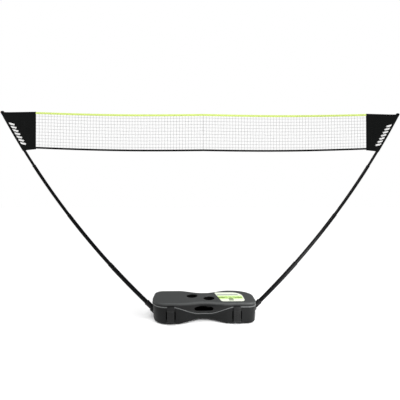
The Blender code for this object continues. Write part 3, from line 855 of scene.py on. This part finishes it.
def blend_half(piece, side_name, side):
    """Bake a net half's transform into its mesh."""
    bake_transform(piece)


# Operators ----------------------------------------------------------------------
class NET_OT_tub(bpy.types.Operator):
    """Build the lower shell of the case"""
    bl_idname = "net.build_tub"
    bl_label = "Tub"

    def execute(self, context):
        settings = context.scene.net_case
        levels = [(0.0009, RIM_SWELL, 0.0, rim_level(0.0)),
                  (0.0, RIM_SWELL, 0.0, rim_level(0.0008))]
        fading_swell = ((0.004, 0.88), (0.009, 0.55), (0.014, 0.24), (0.018, 0.07), (0.022, 0.0))
        for drop, share in fading_swell:
            levels.append((0.0, RIM_SWELL * share, 0.0, rim_level(drop)))
        reach_in, reach_up = BOTTOM_ROUNDING
        for turn in spread(0.0, 90.0, 6):
            angle = math.radians(turn)
            inward, high = 1 - math.cos(angle), 1 - math.sin(angle)
            levels.append((reach_in * inward, 0.0, inward, floor_level(reach_up * high, high)))
        tub = case_shell("case_tub", levels)
        applied(tub, "SOLIDIFY", thickness=CASE_WALL, offset=-1.0, use_even_offset=True)
        for _, side in SIDES:
            self.add_lugs(tub, side)
            self.add_boss(tub, side)
            self.cut_bores(tub, side)
            self.cut_slots(tub, side)
        material = moulded_plastic("tub_plastic", settings.tub_colour, settings.grain, 0.44, 0.12)
        finished(tub, "case", "case_plastic", material, ["base_tub"])
        return {"FINISHED"}

    def add_lugs(self, tub, side):
        """The knuckles of the lid's hinge and the lugs on both sides of a latch."""
        for offset in (-0.016, 0.016):
            carved(tub, lid_knuckle(side * HINGE_X + offset, 0.007, -1.0), "UNION")
        for offset in (-1.0, 1.0):
            x = side * LATCH_X + offset * (LATCH_WIDTH / 2 + 0.0036)
            carved(tub, knuckle("lug", x, 0.003, LATCH_Y, LATCH_FOOT, 0.002 - CASE_DEPTH / 2,
                                LATCH_FOOT - 0.005, LATCH_FOOT + 0.009), "UNION")

    def add_boss(self, tub, side):
        """The collar round the socket's hole, kept clear of the lid."""
        boss = bowed("boss", [(-0.081, 0.025), (-0.049, 0.025), (-0.0465, 0.0235)], side, 40)
        block = bevelled_block("limit", (-0.5, -0.1, 0.0), (0.5, 0.1, 0.103), 0.0005, 1)
        carved(boss, block, "INTERSECT")
        carved(tub, boss, "UNION")

    def cut_bores(self, tub, side):
        """The holes for the hinge pin, the latch pin and the socket."""
        carved(tub, bore(side * HINGE_X, HINGE_Y, PARTING, 0.03))
        carved(tub, bore(side * LATCH_X, LATCH_Y, LATCH_FOOT, LATCH_WIDTH / 2 + 0.009))
        reach = [(s, SOCKET_RADIUS + 0.0005) for s in spread(-0.12, 0.03, 6)]
        carved(tub, bowed("socket_hole", reach, side, 40))

    def cut_slots(self, tub, side):
        """The upright finger slots on both sides of a latch."""
        for offset in (-SLOT_OFFSET, SLOT_OFFSET):
            x = side * LATCH_X + offset
            low = (x - SLOT_WIDTH / 2, -CASE_DEPTH / 2 - 0.01, SLOT_SPAN[0])
            high = (x + SLOT_WIDTH / 2, -CASE_DEPTH / 2 + 0.01, SLOT_SPAN[1])
            carved(tub, bevelled_block("slot", low, high, 0.003, 4))


class NET_OT_lid(bpy.types.Operator):
    """Build the upper shell of the case"""
    bl_idname = "net.build_lid"
    bl_label = "Lid"

    def execute(self, context):
        settings = context.scene.net_case
        lid = self.shell()
        self.add_cups(lid)
        self.cut_grip(lid)
        for _, side in SIDES:
            x = side * HINGE_X
            carved(lid, lid_knuckle(x, 0.0085, 1.0), "UNION")
            carved(lid, bore(x, HINGE_Y, PARTING, 0.03))
        # The lid's sides get painted shade: 0.12 of the top's colour.
        material = moulded_plastic("lid_plastic", settings.lid_colour, settings.grain, 0.40,
                                   0.18, 0.12)
        finished(lid, "lid", "lid_plastic", material, ["base_lid"])
        # Painted shade: near-black sheets inside the round recesses.
        self.add_cup_shade()
        rim = self.rim(settings.bead)
        # Painted highlight: the rim's colour is the lid's made 1.8 times lighter, for the light
        # line along the parting; its lower roughness and higher shine are a glossier finish.
        rim_highlight_finish = moulded_plastic("rim_plastic", tinted(settings.lid_colour, 1.8),
                                   settings.grain, 0.30, 0.45)
        finished(rim, "lid", "lid_plastic", rim_highlight_finish)
        return {"FINISHED"}

    def shell(self):
        """The lid's wall: its section is given as (inset, share of height, share of swell)."""
        section = [(0.0, 0.0, RIM_SWELL), (0.0, 0.06, 0.52), (0.0, 0.12, 0.62),
                   (0.0, 0.20, 0.78), (0.0, 0.30, 0.92), (0.0, 0.42, 0.98), (0.0, 0.56, 1.0),
                   (0.0, 0.68, 0.98), (0.0003, 0.77, 0.93), (0.0010, 0.84, 0.86),
                   (0.0022, 0.90, 0.76), (0.0040, 0.945, 0.66), (0.0064, 0.975, 0.55),
                   (0.0092, 0.993, 0.44), (0.0125, 1.0, 0.34)]
        levels = [(inset, swell, 0.0, lid_level(share)) for inset, share, swell in section]
        lid = case_shell("case_lid", levels)
        applied(lid, "SOLIDIFY", thickness=CASE_WALL, offset=-1.0, use_even_offset=True)
        return lid

    def add_cup_shade(self):
        """A near-black sheet in each round recess: painted shade where the deep recess is dark.
        """
        cup_shade_finish = moulded_plastic("cup_lining", (0.002, 0.002, 0.002), 0.0012, 0.85, 0.05)
        clear, skin = 0.0012, 0.0010
        out, floor = CUP_RADIUS - clear, CASE_TOP - CUP_DEPTH + clear
        for number, (x, y) in enumerate(CUP_CENTRES, 1):
            profile = [(0.0, out - 0.008), (0.002, out - 0.004), (0.006, out - 0.001),
                       (CUP_DEPTH - 0.008, out), (CUP_DEPTH - 0.0075, out - skin / 2),
                       (CUP_DEPTH - 0.008, out - skin), (0.006, out - 0.001 - skin),
                       (0.003, out - 0.004 - skin), (skin, out - 0.009 - skin)]
            cup = turned(f"cup_lining_{number}", profile, (x, y, floor), (0, 0, 1), 64)
            finished(cup, "lid", "lid_plastic", cup_shade_finish)

    def rim(self, bead):
        """The rim round the lid's lower edge, which stands out further at the dip."""
        sides = len(PLAN_POINTS)
        section = [(0.0012, 0.0006), (-bead * 0.7, 0.0001), (-bead, 0.0010), (-bead, 0.0042),
                   (-bead * 0.8, 0.0054), (-bead * 0.2, 0.0062), (0.0012, 0.0064)]
        rim = ring_body("lid_rim", sides, len(section), "joined")

        def point(co):
            corner, ring = ring_place(co, sides)
            out, rise = section[ring]
            x, y = PLAN_POINTS[corner]
            if y > 0.0 and abs(abs(x) - HINGE_X) < RIM_CLEARING:
                out = max(out, 0.0004)
            elif y < 0.0 and out < 0.0:
                out *= 1.0 + RIM_DEEPENING * lens_share(x)
            return case_point(corner, out, RIM_SWELL, 0.0,
                              lambda x, y: parting_height(x, y) + HALF_GAP + rise)

        shape(rim, point)
        face_outwards(rim)
        return rim

    def add_cups(self, lid):
        """The walls of the round recesses and their hollows, with rounded mouths."""
        wall = 0.0025
        for x, y in CUP_CENTRES:
            low = CASE_TOP - 0.0015 - CUP_DEPTH
            boss = [(0.0, CUP_RADIUS - 0.004), (0.006, CUP_RADIUS + wall),
                    (CUP_DEPTH, CUP_RADIUS + wall)]
            carved(lid, turned("cup", boss, (x, y, low), (0, 0, 1), 64), "UNION")
            hollow = [(0.0, CUP_RADIUS - 0.0065), (0.0015, CUP_RADIUS - 0.0030),
                      (0.0045, CUP_RADIUS - 0.0008), (0.010, CUP_RADIUS - 0.0004),
                      (CUP_DEPTH - 0.0045, CUP_RADIUS), (CUP_DEPTH - 0.0025, CUP_RADIUS + 0.0006),
                      (CUP_DEPTH - 0.0012, CUP_RADIUS + 0.0020), (CUP_DEPTH, CUP_RADIUS + 0.0045)]
            hollow = [(along + 0.001, radius) for along, radius in hollow]
            hollow.append((CUP_DEPTH + 0.01, CUP_RADIUS + 0.0100))
            carved(lid, turned("hollow", hollow, (x, y, CASE_TOP - CUP_DEPTH), (0, 0, 1), 64))

    def cut_grip(self, lid):
        """The oval hand hole in the dip of the front."""
        def rounded(share, reach):
            return math.copysign(abs(share) ** GRIP_ROUNDING, share) * reach

        outline = []
        for turn in spread(0.0, 360.0, 48)[:-1]:
            angle = math.radians(turn)
            outline.append((rounded(math.cos(angle), GRIP_LENGTH / 2), 0.0,
                            GRIP_Z + rounded(math.sin(angle), GRIP_HEIGHT / 2)))
        hole = outline_block("grip", outline, (0, -0.16, 0), (0, -0.088, 0))
        carved(lid, hole)


class NET_OT_latches(bpy.types.Operator):
    """Build the two latches on the front of the case"""
    bl_idname = "net.build_latches"
    bl_label = "Latches"

    def execute(self, context):
        settings = context.scene.net_case
        material = moulded_plastic("latch_plastic", tinted(settings.tub_colour, 0.9),
                                   settings.grain, 0.36, 0.20)
        for side_name, side in SIDES:
            latch = self.lever(side * LATCH_X)
            latch.name = f"latch_lever_{side_name}"
            finished(latch, f"latch_{side_name}", "black_plastic", material,
                     [f"latch_{side_name}"])
        return {"FINISHED"}

    def lever(self, x):
        """Plate, barrel, the web between them, thumb ledge and ribs of one latch."""
        inner, outer = LATCH_Y + 0.0040, LATCH_Y - 0.0018
        half, foot, ledge = LATCH_WIDTH / 2, LATCH_FOOT, LATCH_LEDGE
        parts = [bevelled_block("plate", (x - half, outer, foot + 0.0055),
                                (x + half, inner, LATCH_TOP), 0.0012)]
        barrel = [(-half, 0.0038), (-half + 0.0006, 0.0045), (half - 0.0006, 0.0045),
                  (half, 0.0038)]
        parts.append(turned("barrel", barrel, (x, LATCH_Y, foot), (1, 0, 0), 28))
        parts.append(bevelled_block("web", (x - half + 0.0002, LATCH_Y - 0.0016, foot + 0.001),
                                    (x + half - 0.0002, LATCH_Y + 0.0030, foot + 0.008),
                                    0.0008))
        lip = [(0, outer + 0.001, ledge + 0.0012), (0, outer + 0.001, ledge - 0.016),
               (0, outer - 0.0030, ledge - 0.005), (0, outer - 0.0034, ledge - 0.003),
               (0, outer - 0.0034, ledge - 0.0006), (0, outer - 0.0028, ledge)]
        parts.append(outline_block("lip", lip, (x - half + 0.0005, 0, 0),
                                   (x + half - 0.0005, 0, 0), 0.0005))
        for offset in spread(-0.015, 0.015, 3):
            parts.append(bevelled_block("rib", (x + offset - 0.0014, outer - 0.0010, 0.046),
                                        (x + offset + 0.0014, outer + 0.001, 0.082), 0.0006, 2))
        return joined(parts)


class NET_OT_sockets(bpy.types.Operator):
    """Build the sockets that hold the poles"""
    bl_idname = "net.build_sockets"
    bl_label = "Sockets"

    def execute(self, context):
        settings = context.scene.net_case
        material = moulded_plastic("socket_plastic", (0.007, 0.007, 0.0075), settings.grain, 0.34,
                                   0.16)
        for side_name, side in SIDES:
            socket = joined([self.tube(side), *self.bracket(side)])
            socket.name = f"socket_{side_name}"
            finished(socket, "case", "black_plastic", material, [f"pole_socket_{side_name}"])
        return {"FINISHED"}

    def tube(self, side):
        """The tube with its collar, closed at its lower end."""
        start, end = SOCKET_SPAN
        collar = SOCKET_RADIUS + 0.0013
        outer = [(start, SOCKET_RADIUS - 0.001), (start + 0.001, SOCKET_RADIUS)]
        outer += [(s, SOCKET_RADIUS) for s in spread(start + 0.01, end - 0.010, 8)]
        outer += [(end - 0.0095, collar), (end - 0.0015, collar),
                  (end, SOCKET_RADIUS + 0.0003), (end, SOCKET_BORE + 0.0008)]
        inner = [(s, SOCKET_BORE) for s in spread(end - 0.0008, start + 0.003, 8)]
        return bowed("tube", outer + inner, side, 48)

    def bracket(self, side):
        """The plate on the tub's floor and the web between it and the tube."""
        floor = CASE_BOTTOM + CASE_WALL + 0.0003
        xs = sorted(side * x for x in PLATE_SPAN)
        plate = bevelled_block("plate", (xs[0], -PLATE_HALF_WIDTH, floor),
                               (xs[1], PLATE_HALF_WIDTH, floor + PLATE_THICK), 0.0008, 2)
        near, far = (side * (x + inward) for x, inward in zip(PLATE_SPAN, (0.002, -0.001)))
        outline = [(near, 0, floor + 0.001), (far, 0, floor + 0.001), (far, 0, 0.040),
                   (near + side * 0.010, 0, 0.025)]
        web = outline_block("web", outline, (0, -WEB_HALF_WIDTH, 0), (0, WEB_HALF_WIDTH, 0),
                            0.0008)
        return plate, web


class NET_OT_poles(bpy.types.Operator):
    """Build the telescoping tubes"""
    bl_idname = "net.build_poles"
    bl_label = "Poles"

    def execute(self, context):
        settings = context.scene.net_poles
        material = tube_lacquer("tube_lacquer", settings.colour)
        for side_name, side in SIDES:
            for number, ((start, end), radius) in enumerate(zip(TUBE_ENDS, TUBE_RADII), 1):
                body = ("case", f"pole_stage_2_{side_name}", f"pole_stage_3_{side_name}",
                        f"pole_tip_{side_name}")[number - 1]
                lip = settings.lip if number < 4 else 0.0
                tube = self.tube(f"tube_{number}_{side_name}", start, end, radius, lip, side,
                                 settings.sides)
                finished(tube, body, "pole_lacquer", material,
                         [f"pole_tube_{number}_{side_name}"])
        return {"FINISHED"}

    def tube(self, name, start, end, radius, lip, side, sides):
        """One tube: outside up to its rolled mouth, then down the bore."""
        bore_radius = radius - TUBE_WALL
        outer = [(s, radius) for s in spread(start, end - 0.006, 16)]
        outer += [(end - 0.0052, radius + lip), (end - 0.0010, radius + lip),
                  (end - 0.0002, radius + lip * 0.4), (end, radius - 0.0005)]
        inner = [(end - 0.0003, bore_radius + 0.0001)]
        inner += [(s, bore_radius) for s in spread(end - 0.001, start, 16)]
        return bowed(name, outer + inner, side, sides, "joined")


class NET_OT_pockets(bpy.types.Operator):
    """Sew the end pockets that fit over the tips of the poles"""
    bl_idname = "net.build_pockets"
    bl_label = "Pockets"

    def execute(self, context):
        settings = context.scene.net_cloth
        body_cloth = pocket_cloth("pocket_cloth", settings.pocket_colour, settings.thread)
        edge_cloth = plain_cloth("pocket_binding", tinted(settings.pocket_colour, 0.6),
                                 settings.thread, 1.5).material
        for side_name, side in SIDES:
            pocket, area = self.pocket(side_name, side), self.cloth_area(side)
            finished(pocket, f"pole_tip_{side_name}", "black_cloth", body_cloth,
                     [f"net_pocket_{side_name}"], 60.0)
            bindings = self.bindings(side_name, side) + [self.hood(side_name, side)]
            for binding in bindings:
                finished(binding, f"pole_tip_{side_name}", "black_cloth", edge_cloth, (), 60.0)
            self.cut_size(side)
        return {"FINISHED"}

    def cross(self, v, side):
        """Distance, point and normal of the pole, and inner edge, at height share v."""
        along = SLEEVE_START + v * (SLEEVE_TOP - SLEEVE_START)
        point, normal = pole_frame(along, side)
        inner = Vector((side * POCKET_EDGE, 0.0,
                        POCKET_BOTTOM + v * (POCKET_TOP - POCKET_BOTTOM)))
        return along, point, normal, inner

    def pocket(self, side_name, side):
        """One layer of cloth from the inner edge round the pole and back."""
        wrap = math.pi * SLEEVE_RADIUS
        rows, columns = 44, 76

        def flat_place(u, v):
            along, centre, _, inner = self.cross(v, side)
            width = (inner - centre).length
            return ((u - 0.5) * (2 * width + wrap), along)

        def point(u, v):
            _, centre, normal, inner = self.cross(v, side)
            width = (inner - centre).length
            reach = abs(u - 0.5) * (2 * width + wrap)
            face = -1.0 if u < 0.5 else 1.0
            if reach <= wrap / 2:
                turn = reach / SLEEVE_RADIUS
                return (centre - normal * SLEEVE_RADIUS * math.cos(turn)
                        + Vector((0, face * SLEEVE_RADIUS * math.sin(turn), 0)))
            share = (reach - wrap / 2) / width
            away = centre.lerp(inner, share)
            slack = math.exp(-share * width / 0.016)
            depth = 0.0013 + (SLEEVE_RADIUS - 0.0013) * slack
            ripple = 0.0011 * math.sin(share * 5.0 + v * 9.0) * math.sin(v * 5.0 + 0.7)
            ripple += 0.0007 * math.sin(share * 11.0 - v * 14.0)
            ripple *= math.sin(math.pi * min(1.0, share * 1.02)) * (0.4 + v * (1 - v))
            return away + Vector((0, face * depth + ripple * 1.6, 0))

        return cloth(f"pocket_{side_name}", columns, rows, point, flat_place, 0.0006)

    def cloth_width(self, v, side):
        """Length of cloth from the inner edge round the pole and back, at height share v."""
        _, centre, _, inner = self.cross(v, side)
        return 2 * (inner - centre).length + math.pi * SLEEVE_RADIUS

    def cloth_area(self, side):
        steps = 40
        rise = (SLEEVE_TOP - SLEEVE_START + POCKET_TOP - POCKET_BOTTOM) / 2
        return sum(self.cloth_width((k + 0.5) / steps, side) * rise / steps
                   for k in range(steps))

    def cut_size(self, side):
        """Width and length of the cloth that one pocket is cut from."""
        return (max(self.cloth_width(0.0, side), self.cloth_width(1.0, side)),
                SLEEVE_TOP - SLEEVE_START)

    def hood(self, side_name, side):
        """The closed end of the sleeve, sewn over the tip of the pole."""
        skin = 0.0008
        outer = [(SLEEVE_TOP - 0.010, SLEEVE_RADIUS + 0.0004), (SLEEVE_TOP - 0.0094, 0.0120),
                 (SLEEVE_TOP + 0.003, 0.0119), (SLEEVE_TOP + 0.0058, 0.0108),
                 (HOOD_TOP - 0.0012, 0.0082), (HOOD_TOP, 0.0040), (HOOD_TOP, 0.0002)]
        inner = [(along - skin, max(0.0001, radius - skin))
                 for along, radius in reversed(outer[1:])]
        return bowed(f"hood_{side_name}", outer + inner, side, 32, "joined")

    def bindings(self, side_name, side):
        """Folded bands over the top edge, the inner edge and the bottom edge."""
        made = []
        for name, start, end, reach in self.band_lines(side):
            run = end - start
            inward = reach.normalized()
            width = reach.length

            def point(u, v, start=start, run=run, inward=inward, width=width):
                along = start + run * v
                fold = abs(u - 0.5) * 2.0
                face = -1.0 if u < 0.5 else 1.0
                depth = 0.0022 * min(1.0, fold * 6.0) ** 0.5
                return along + inward * width * fold + Vector((0, face * depth, 0))

            def flat_place(u, v, run=run, width=width):
                return (u * 2 * width, v * run.length)

            made.append(cloth(f"binding_{name}_{side_name}", 24, 30, point, flat_place, 0.0005))
        return made

    def band_lines(self, side):
        _, tip, _, inner_top = self.cross(1.0, side)
        _, foot, _, inner_low = self.cross(0.0, side)
        lean_in = Vector((-side * 0.0125, 0, 0))
        yield ("top", tip + lean_in + Vector((0, 0, 0.0004)), inner_top + Vector((0, 0, 0.0006)),
               Vector((0, 0, -0.009)))
        yield ("edge", inner_top, inner_low, Vector((side * 0.009, 0, 0)))
        yield ("foot", foot + lean_in, inner_low, Vector((0, 0, 0.006)))


class NET_OT_tapes(bpy.types.Operator):
    """Sew the tapes along the top and the bottom of the net"""
    bl_idname = "net.build_tapes"
    bl_label = "Tapes"

    def execute(self, context):
        settings = context.scene.net_cloth
        green = tape_cloth("top_tape_cloth", settings.tape_colour, 0.0012, TOP_TAPE)
        black = tape_cloth("bottom_tape_cloth", (0.003, 0.003, 0.003), 0.0012, BOTTOM_TAPE)
        tapes = (("top_tape", top_line, -1.0, TOP_TAPE, "green_cloth", green),
                 ("bottom_tape", bottom_line, 1.0, BOTTOM_TAPE, "black_cloth", black))
        for side_name, side in SIDES:
            for name, line, inward, width, slot, webbing in tapes:
                piece = self.tape(f"{name}_{side_name}", side, line, inward, width)
                finished(piece, None, slot, webbing, [f"net_{name}_{side_name}"], 60.0)
                blend_half(piece, side_name, side)
        return {"FINISHED"}

    def tape(self, name, side, line, inward, width):
        """A band folded over the edge of the mesh; inward is the way in along Z."""
        def point(u, v):
            x = SEAM_GAP + (POCKET_EDGE - 0.0003 - SEAM_GAP) * v
            fold = abs(u - 0.5) * 2.0
            face = -1.0 if u < 0.5 else 1.0
            depth = 0.0013 * min(1.0, fold * 8.0) ** 0.5
            pucker = 0.00035 * math.sin(x * 190.0) * fold
            return Vector((side * x, face * depth + pucker,
                           line(x) + inward * width * fold))

        def flat_place(u, v):
            return (abs(u - 0.5) * 2 * width, v * POCKET_EDGE)

        return cloth(name, 18, 240, point, flat_place, 0.0005)


class NET_OT_mesh(bpy.types.Operator):
    """Knot the square mesh of the net"""
    bl_idname = "net.build_mesh"
    bl_label = "Mesh"

    def execute(self, context):
        settings = context.scene.net_cloth
        material = twine_finish("net_twine", (0.028, 0.028, 0.028))
        for side_name, side in SIDES:
            mesh = self.half(f"twine_{side_name}", side, settings.twine)
            finished(mesh, None, "net_twine", material,
                     [f"net_mesh_{side_name}"], 60.0)
            blend_half(mesh, side_name, side)
        return {"FINISHED"}

    def half(self, name, side, twine):
        """One cell, with a knot and a run of twine each way, repeated over the half."""
        pitch_x = MESH_LENGTH / NET_COLUMNS
        height = NET_TOP - NET_BOTTOM - TOP_TAPE
        pitch_z = height / NET_ROWS
        radius = twine / 2
        knot_radius = twine * 0.85
        deselect_all()
        bpy.ops.mesh.primitive_ico_sphere_add(subdivisions=1, radius=knot_radius,
                                              location=(0, 0, 0), scale=(1.15, 0.8, 1.15))
        knot = added("knot")
        bpy.ops.object.transform_apply(location=True, rotation=True, scale=True)
        runs = [turned("run", [(0.0, radius * 0.9), (pitch / 2, radius), (pitch, radius * 0.9)],
                       (0, 0, 0), axis, 5)
                for pitch, axis in ((pitch_x, (1, 0, 0)), (pitch_z, (0, 0, 1)))]
        cell = joined([knot, *runs])
        cell.name = name
        applied(cell, "ARRAY", count=NET_COLUMNS, use_relative_offset=False,
                use_constant_offset=True, constant_offset_displace=(pitch_x, 0, 0))
        applied(cell, "ARRAY", count=NET_ROWS, use_relative_offset=False,
                use_constant_offset=True, constant_offset_displace=(0, 0, pitch_z))

        def point(co):
            x = MESH_START + co.x
            share = co.z / height
            low, high = bottom_line(x) + BOTTOM_TAPE * 0.4, top_line(x) - TOP_TAPE * 0.4
            slack = 0.0011 * math.sin(x * 61.0 + share * 13.0) * math.sin(math.pi * share)
            return Vector((side * (x + slack), co.y, low + share * (high - low) + slack * 0.7))

        shape(cell, point)
        face_outwards(cell)
        return cell


class NET_OT_fittings(bpy.types.Operator):
    """Finish the frame's own small parts: pins, screws, feet, plugs, caps and the label"""
    bl_idname = "net.finish_fittings"
    bl_label = "Fittings"

    def execute(self, context):
        steel = metal("pin_steel", (0.52, 0.52, 0.53), 0.34)
        rubber = moulded_plastic("foot_rubber", (0.014, 0.014, 0.014), 0.0015, 0.78)
        black = moulded_plastic("plug_plastic", (0.014, 0.014, 0.015), 0.0008, 0.40)
        film = printed_film("label_film", *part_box("lid_label"))
        for name, node in frame["nodes"].items():
            if "pin" in name or "screw" in name:
                self.dress(node, steel)
            elif "foot_" in name and "plug" not in name:
                self.dress(node, rubber)
            elif "plug" in name or "cap" in name:
                self.dress(node, black)
        self.dress(frame["nodes"]["lid_label"], film)
        return {"FINISHED"}

    def dress(self, node, material):
        node.data.materials.clear()
        node.data.materials.append(material)


class NET_OT_stage(bpy.types.Operator):
    """Set out the floor, the light and the camera"""
    bl_idname = "net.build_stage"
    bl_label = "Stage"

    def execute(self, context):
        context.scene.view_settings.view_transform = "Standard"
        self.floor()
        self.light()
        self.camera(context.scene)
        return {"FINISHED"}

    def floor(self):
        deselect_all()
        bpy.ops.mesh.primitive_plane_add(size=60.0, location=(0.0, 0.0, 0.0))
        floor = added("floor")
        made = Finish("floor_white", 0.7, specular_ior_level=0.1)
        made.base((0.90, 0.90, 0.90))
        floor.data.materials.append(made.material)

    def light(self):
        """A wide soft light from above, a lamp at the front right and a dim white room."""
        world = bpy.data.worlds.new("studio")
        world.use_nodes = True
        tree = world.node_tree
        room = tree.nodes["Background"]
        backdrop = tree.nodes.new("ShaderNodeBackground")
        for shader, strength in ((room, 0.22), (backdrop, 1.0)):
            shader.inputs["Color"].default_value = (1.0, 1.0, 1.0, 1.0)
            shader.inputs["Strength"].default_value = strength
        seen = tree.nodes.new("ShaderNodeLightPath").outputs["Is Camera Ray"]
        mix = tree.nodes.new("ShaderNodeMixShader")
        for slot, wire in zip(mix.inputs, (seen, room.outputs[0], backdrop.outputs[0])):
            tree.links.new(wire, slot)
        tree.links.new(mix.outputs[0], tree.nodes["World Output"].inputs["Surface"])
        bpy.context.scene.world = world
        sky = self.lamp("overhead", "SUN", (0.0, -1.0, 3.0), (0.15, 0.40, -1.0), 3.5)
        sky.angle = math.radians(70.0)
        side = self.lamp("side", "AREA", (0.80, -0.70, 0.40), (-0.75, 0.65, -0.35), 14.0)
        side.size = 0.7

    def lamp(self, name, kind, place, aim, power):
        lamp = bpy.data.lights.new(name, kind)
        lamp.energy = power
        holder = bpy.data.objects.new(name, lamp)
        bpy.context.scene.collection.objects.link(holder)
        holder.location = place
        holder.rotation_euler = Vector(aim).to_track_quat("-Z", "Y").to_euler()
        holder.visible_camera = False
        return lamp

    def camera(self, scene):
        """Level view from the front, a little above half the net's height."""
        yaw, pitch, roll = 0.0203, 0.00606, -0.00108
        forward = Vector((math.sin(yaw) * math.cos(pitch), math.cos(yaw) * math.cos(pitch),
                          math.sin(pitch)))
        right = Vector((math.cos(yaw), -math.sin(yaw), 0.0))
        up = right.cross(forward)
        right, up = (right * math.cos(roll) + up * math.sin(roll),
                     up * math.cos(roll) - right * math.sin(roll))
        data = bpy.data.cameras.new("view")
        data.lens = 22.67
        data.sensor_width = 36.0
        camera = bpy.data.objects.new("view", data)
        scene.collection.objects.link(camera)
        turn = Matrix((right, up, -forward)).transposed().to_4x4()
        camera.matrix_world = Matrix.Translation((-0.0626, -1.8729, 0.8535)) @ turn
        scene.camera = camera


class NET_PT_panel(bpy.types.Panel):
    """Lists the pieces and their settings"""
    bl_idname = "NET_PT_panel"
    bl_label = "Badminton net"
    bl_space_type = "VIEW_3D"
    bl_region_type = "UI"
    bl_category = "Net"

    def draw(self, context):
        for group in ("net_case", "net_poles", "net_cloth"):
            box = self.layout.box()
            settings = getattr(context.scene, group)
            for key in settings.__annotations__:
                box.prop(settings, key)
        for operator in BUILDERS:
            self.layout.operator(operator.bl_idname)


BUILDERS = (NET_OT_stage, NET_OT_tub, NET_OT_lid, NET_OT_latches, NET_OT_sockets, NET_OT_poles,
            NET_OT_pockets, NET_OT_tapes, NET_OT_mesh, NET_OT_fittings)
GROUPS = {"net_case": CaseSettings, "net_poles": PoleSettings, "net_cloth": ClothSettings}


def register():
    for kind in (*GROUPS.values(), *BUILDERS, NET_PT_panel):
        bpy.utils.register_class(kind)
    for name, kind in GROUPS.items():
        setattr(bpy.types.Scene, name, bpy.props.PointerProperty(type=kind))


def unregister():
    for name in GROUPS:
        delattr(bpy.types.Scene, name)
    for kind in reversed((*GROUPS.values(), *BUILDERS, NET_PT_panel)):
        bpy.utils.unregister_class(kind)


def main():
    register()
    for operator in BUILDERS:
        group, name = operator.bl_idname.split(".")
        getattr(getattr(bpy.ops, group), name)()


if __name__ == "__main__":
    main()
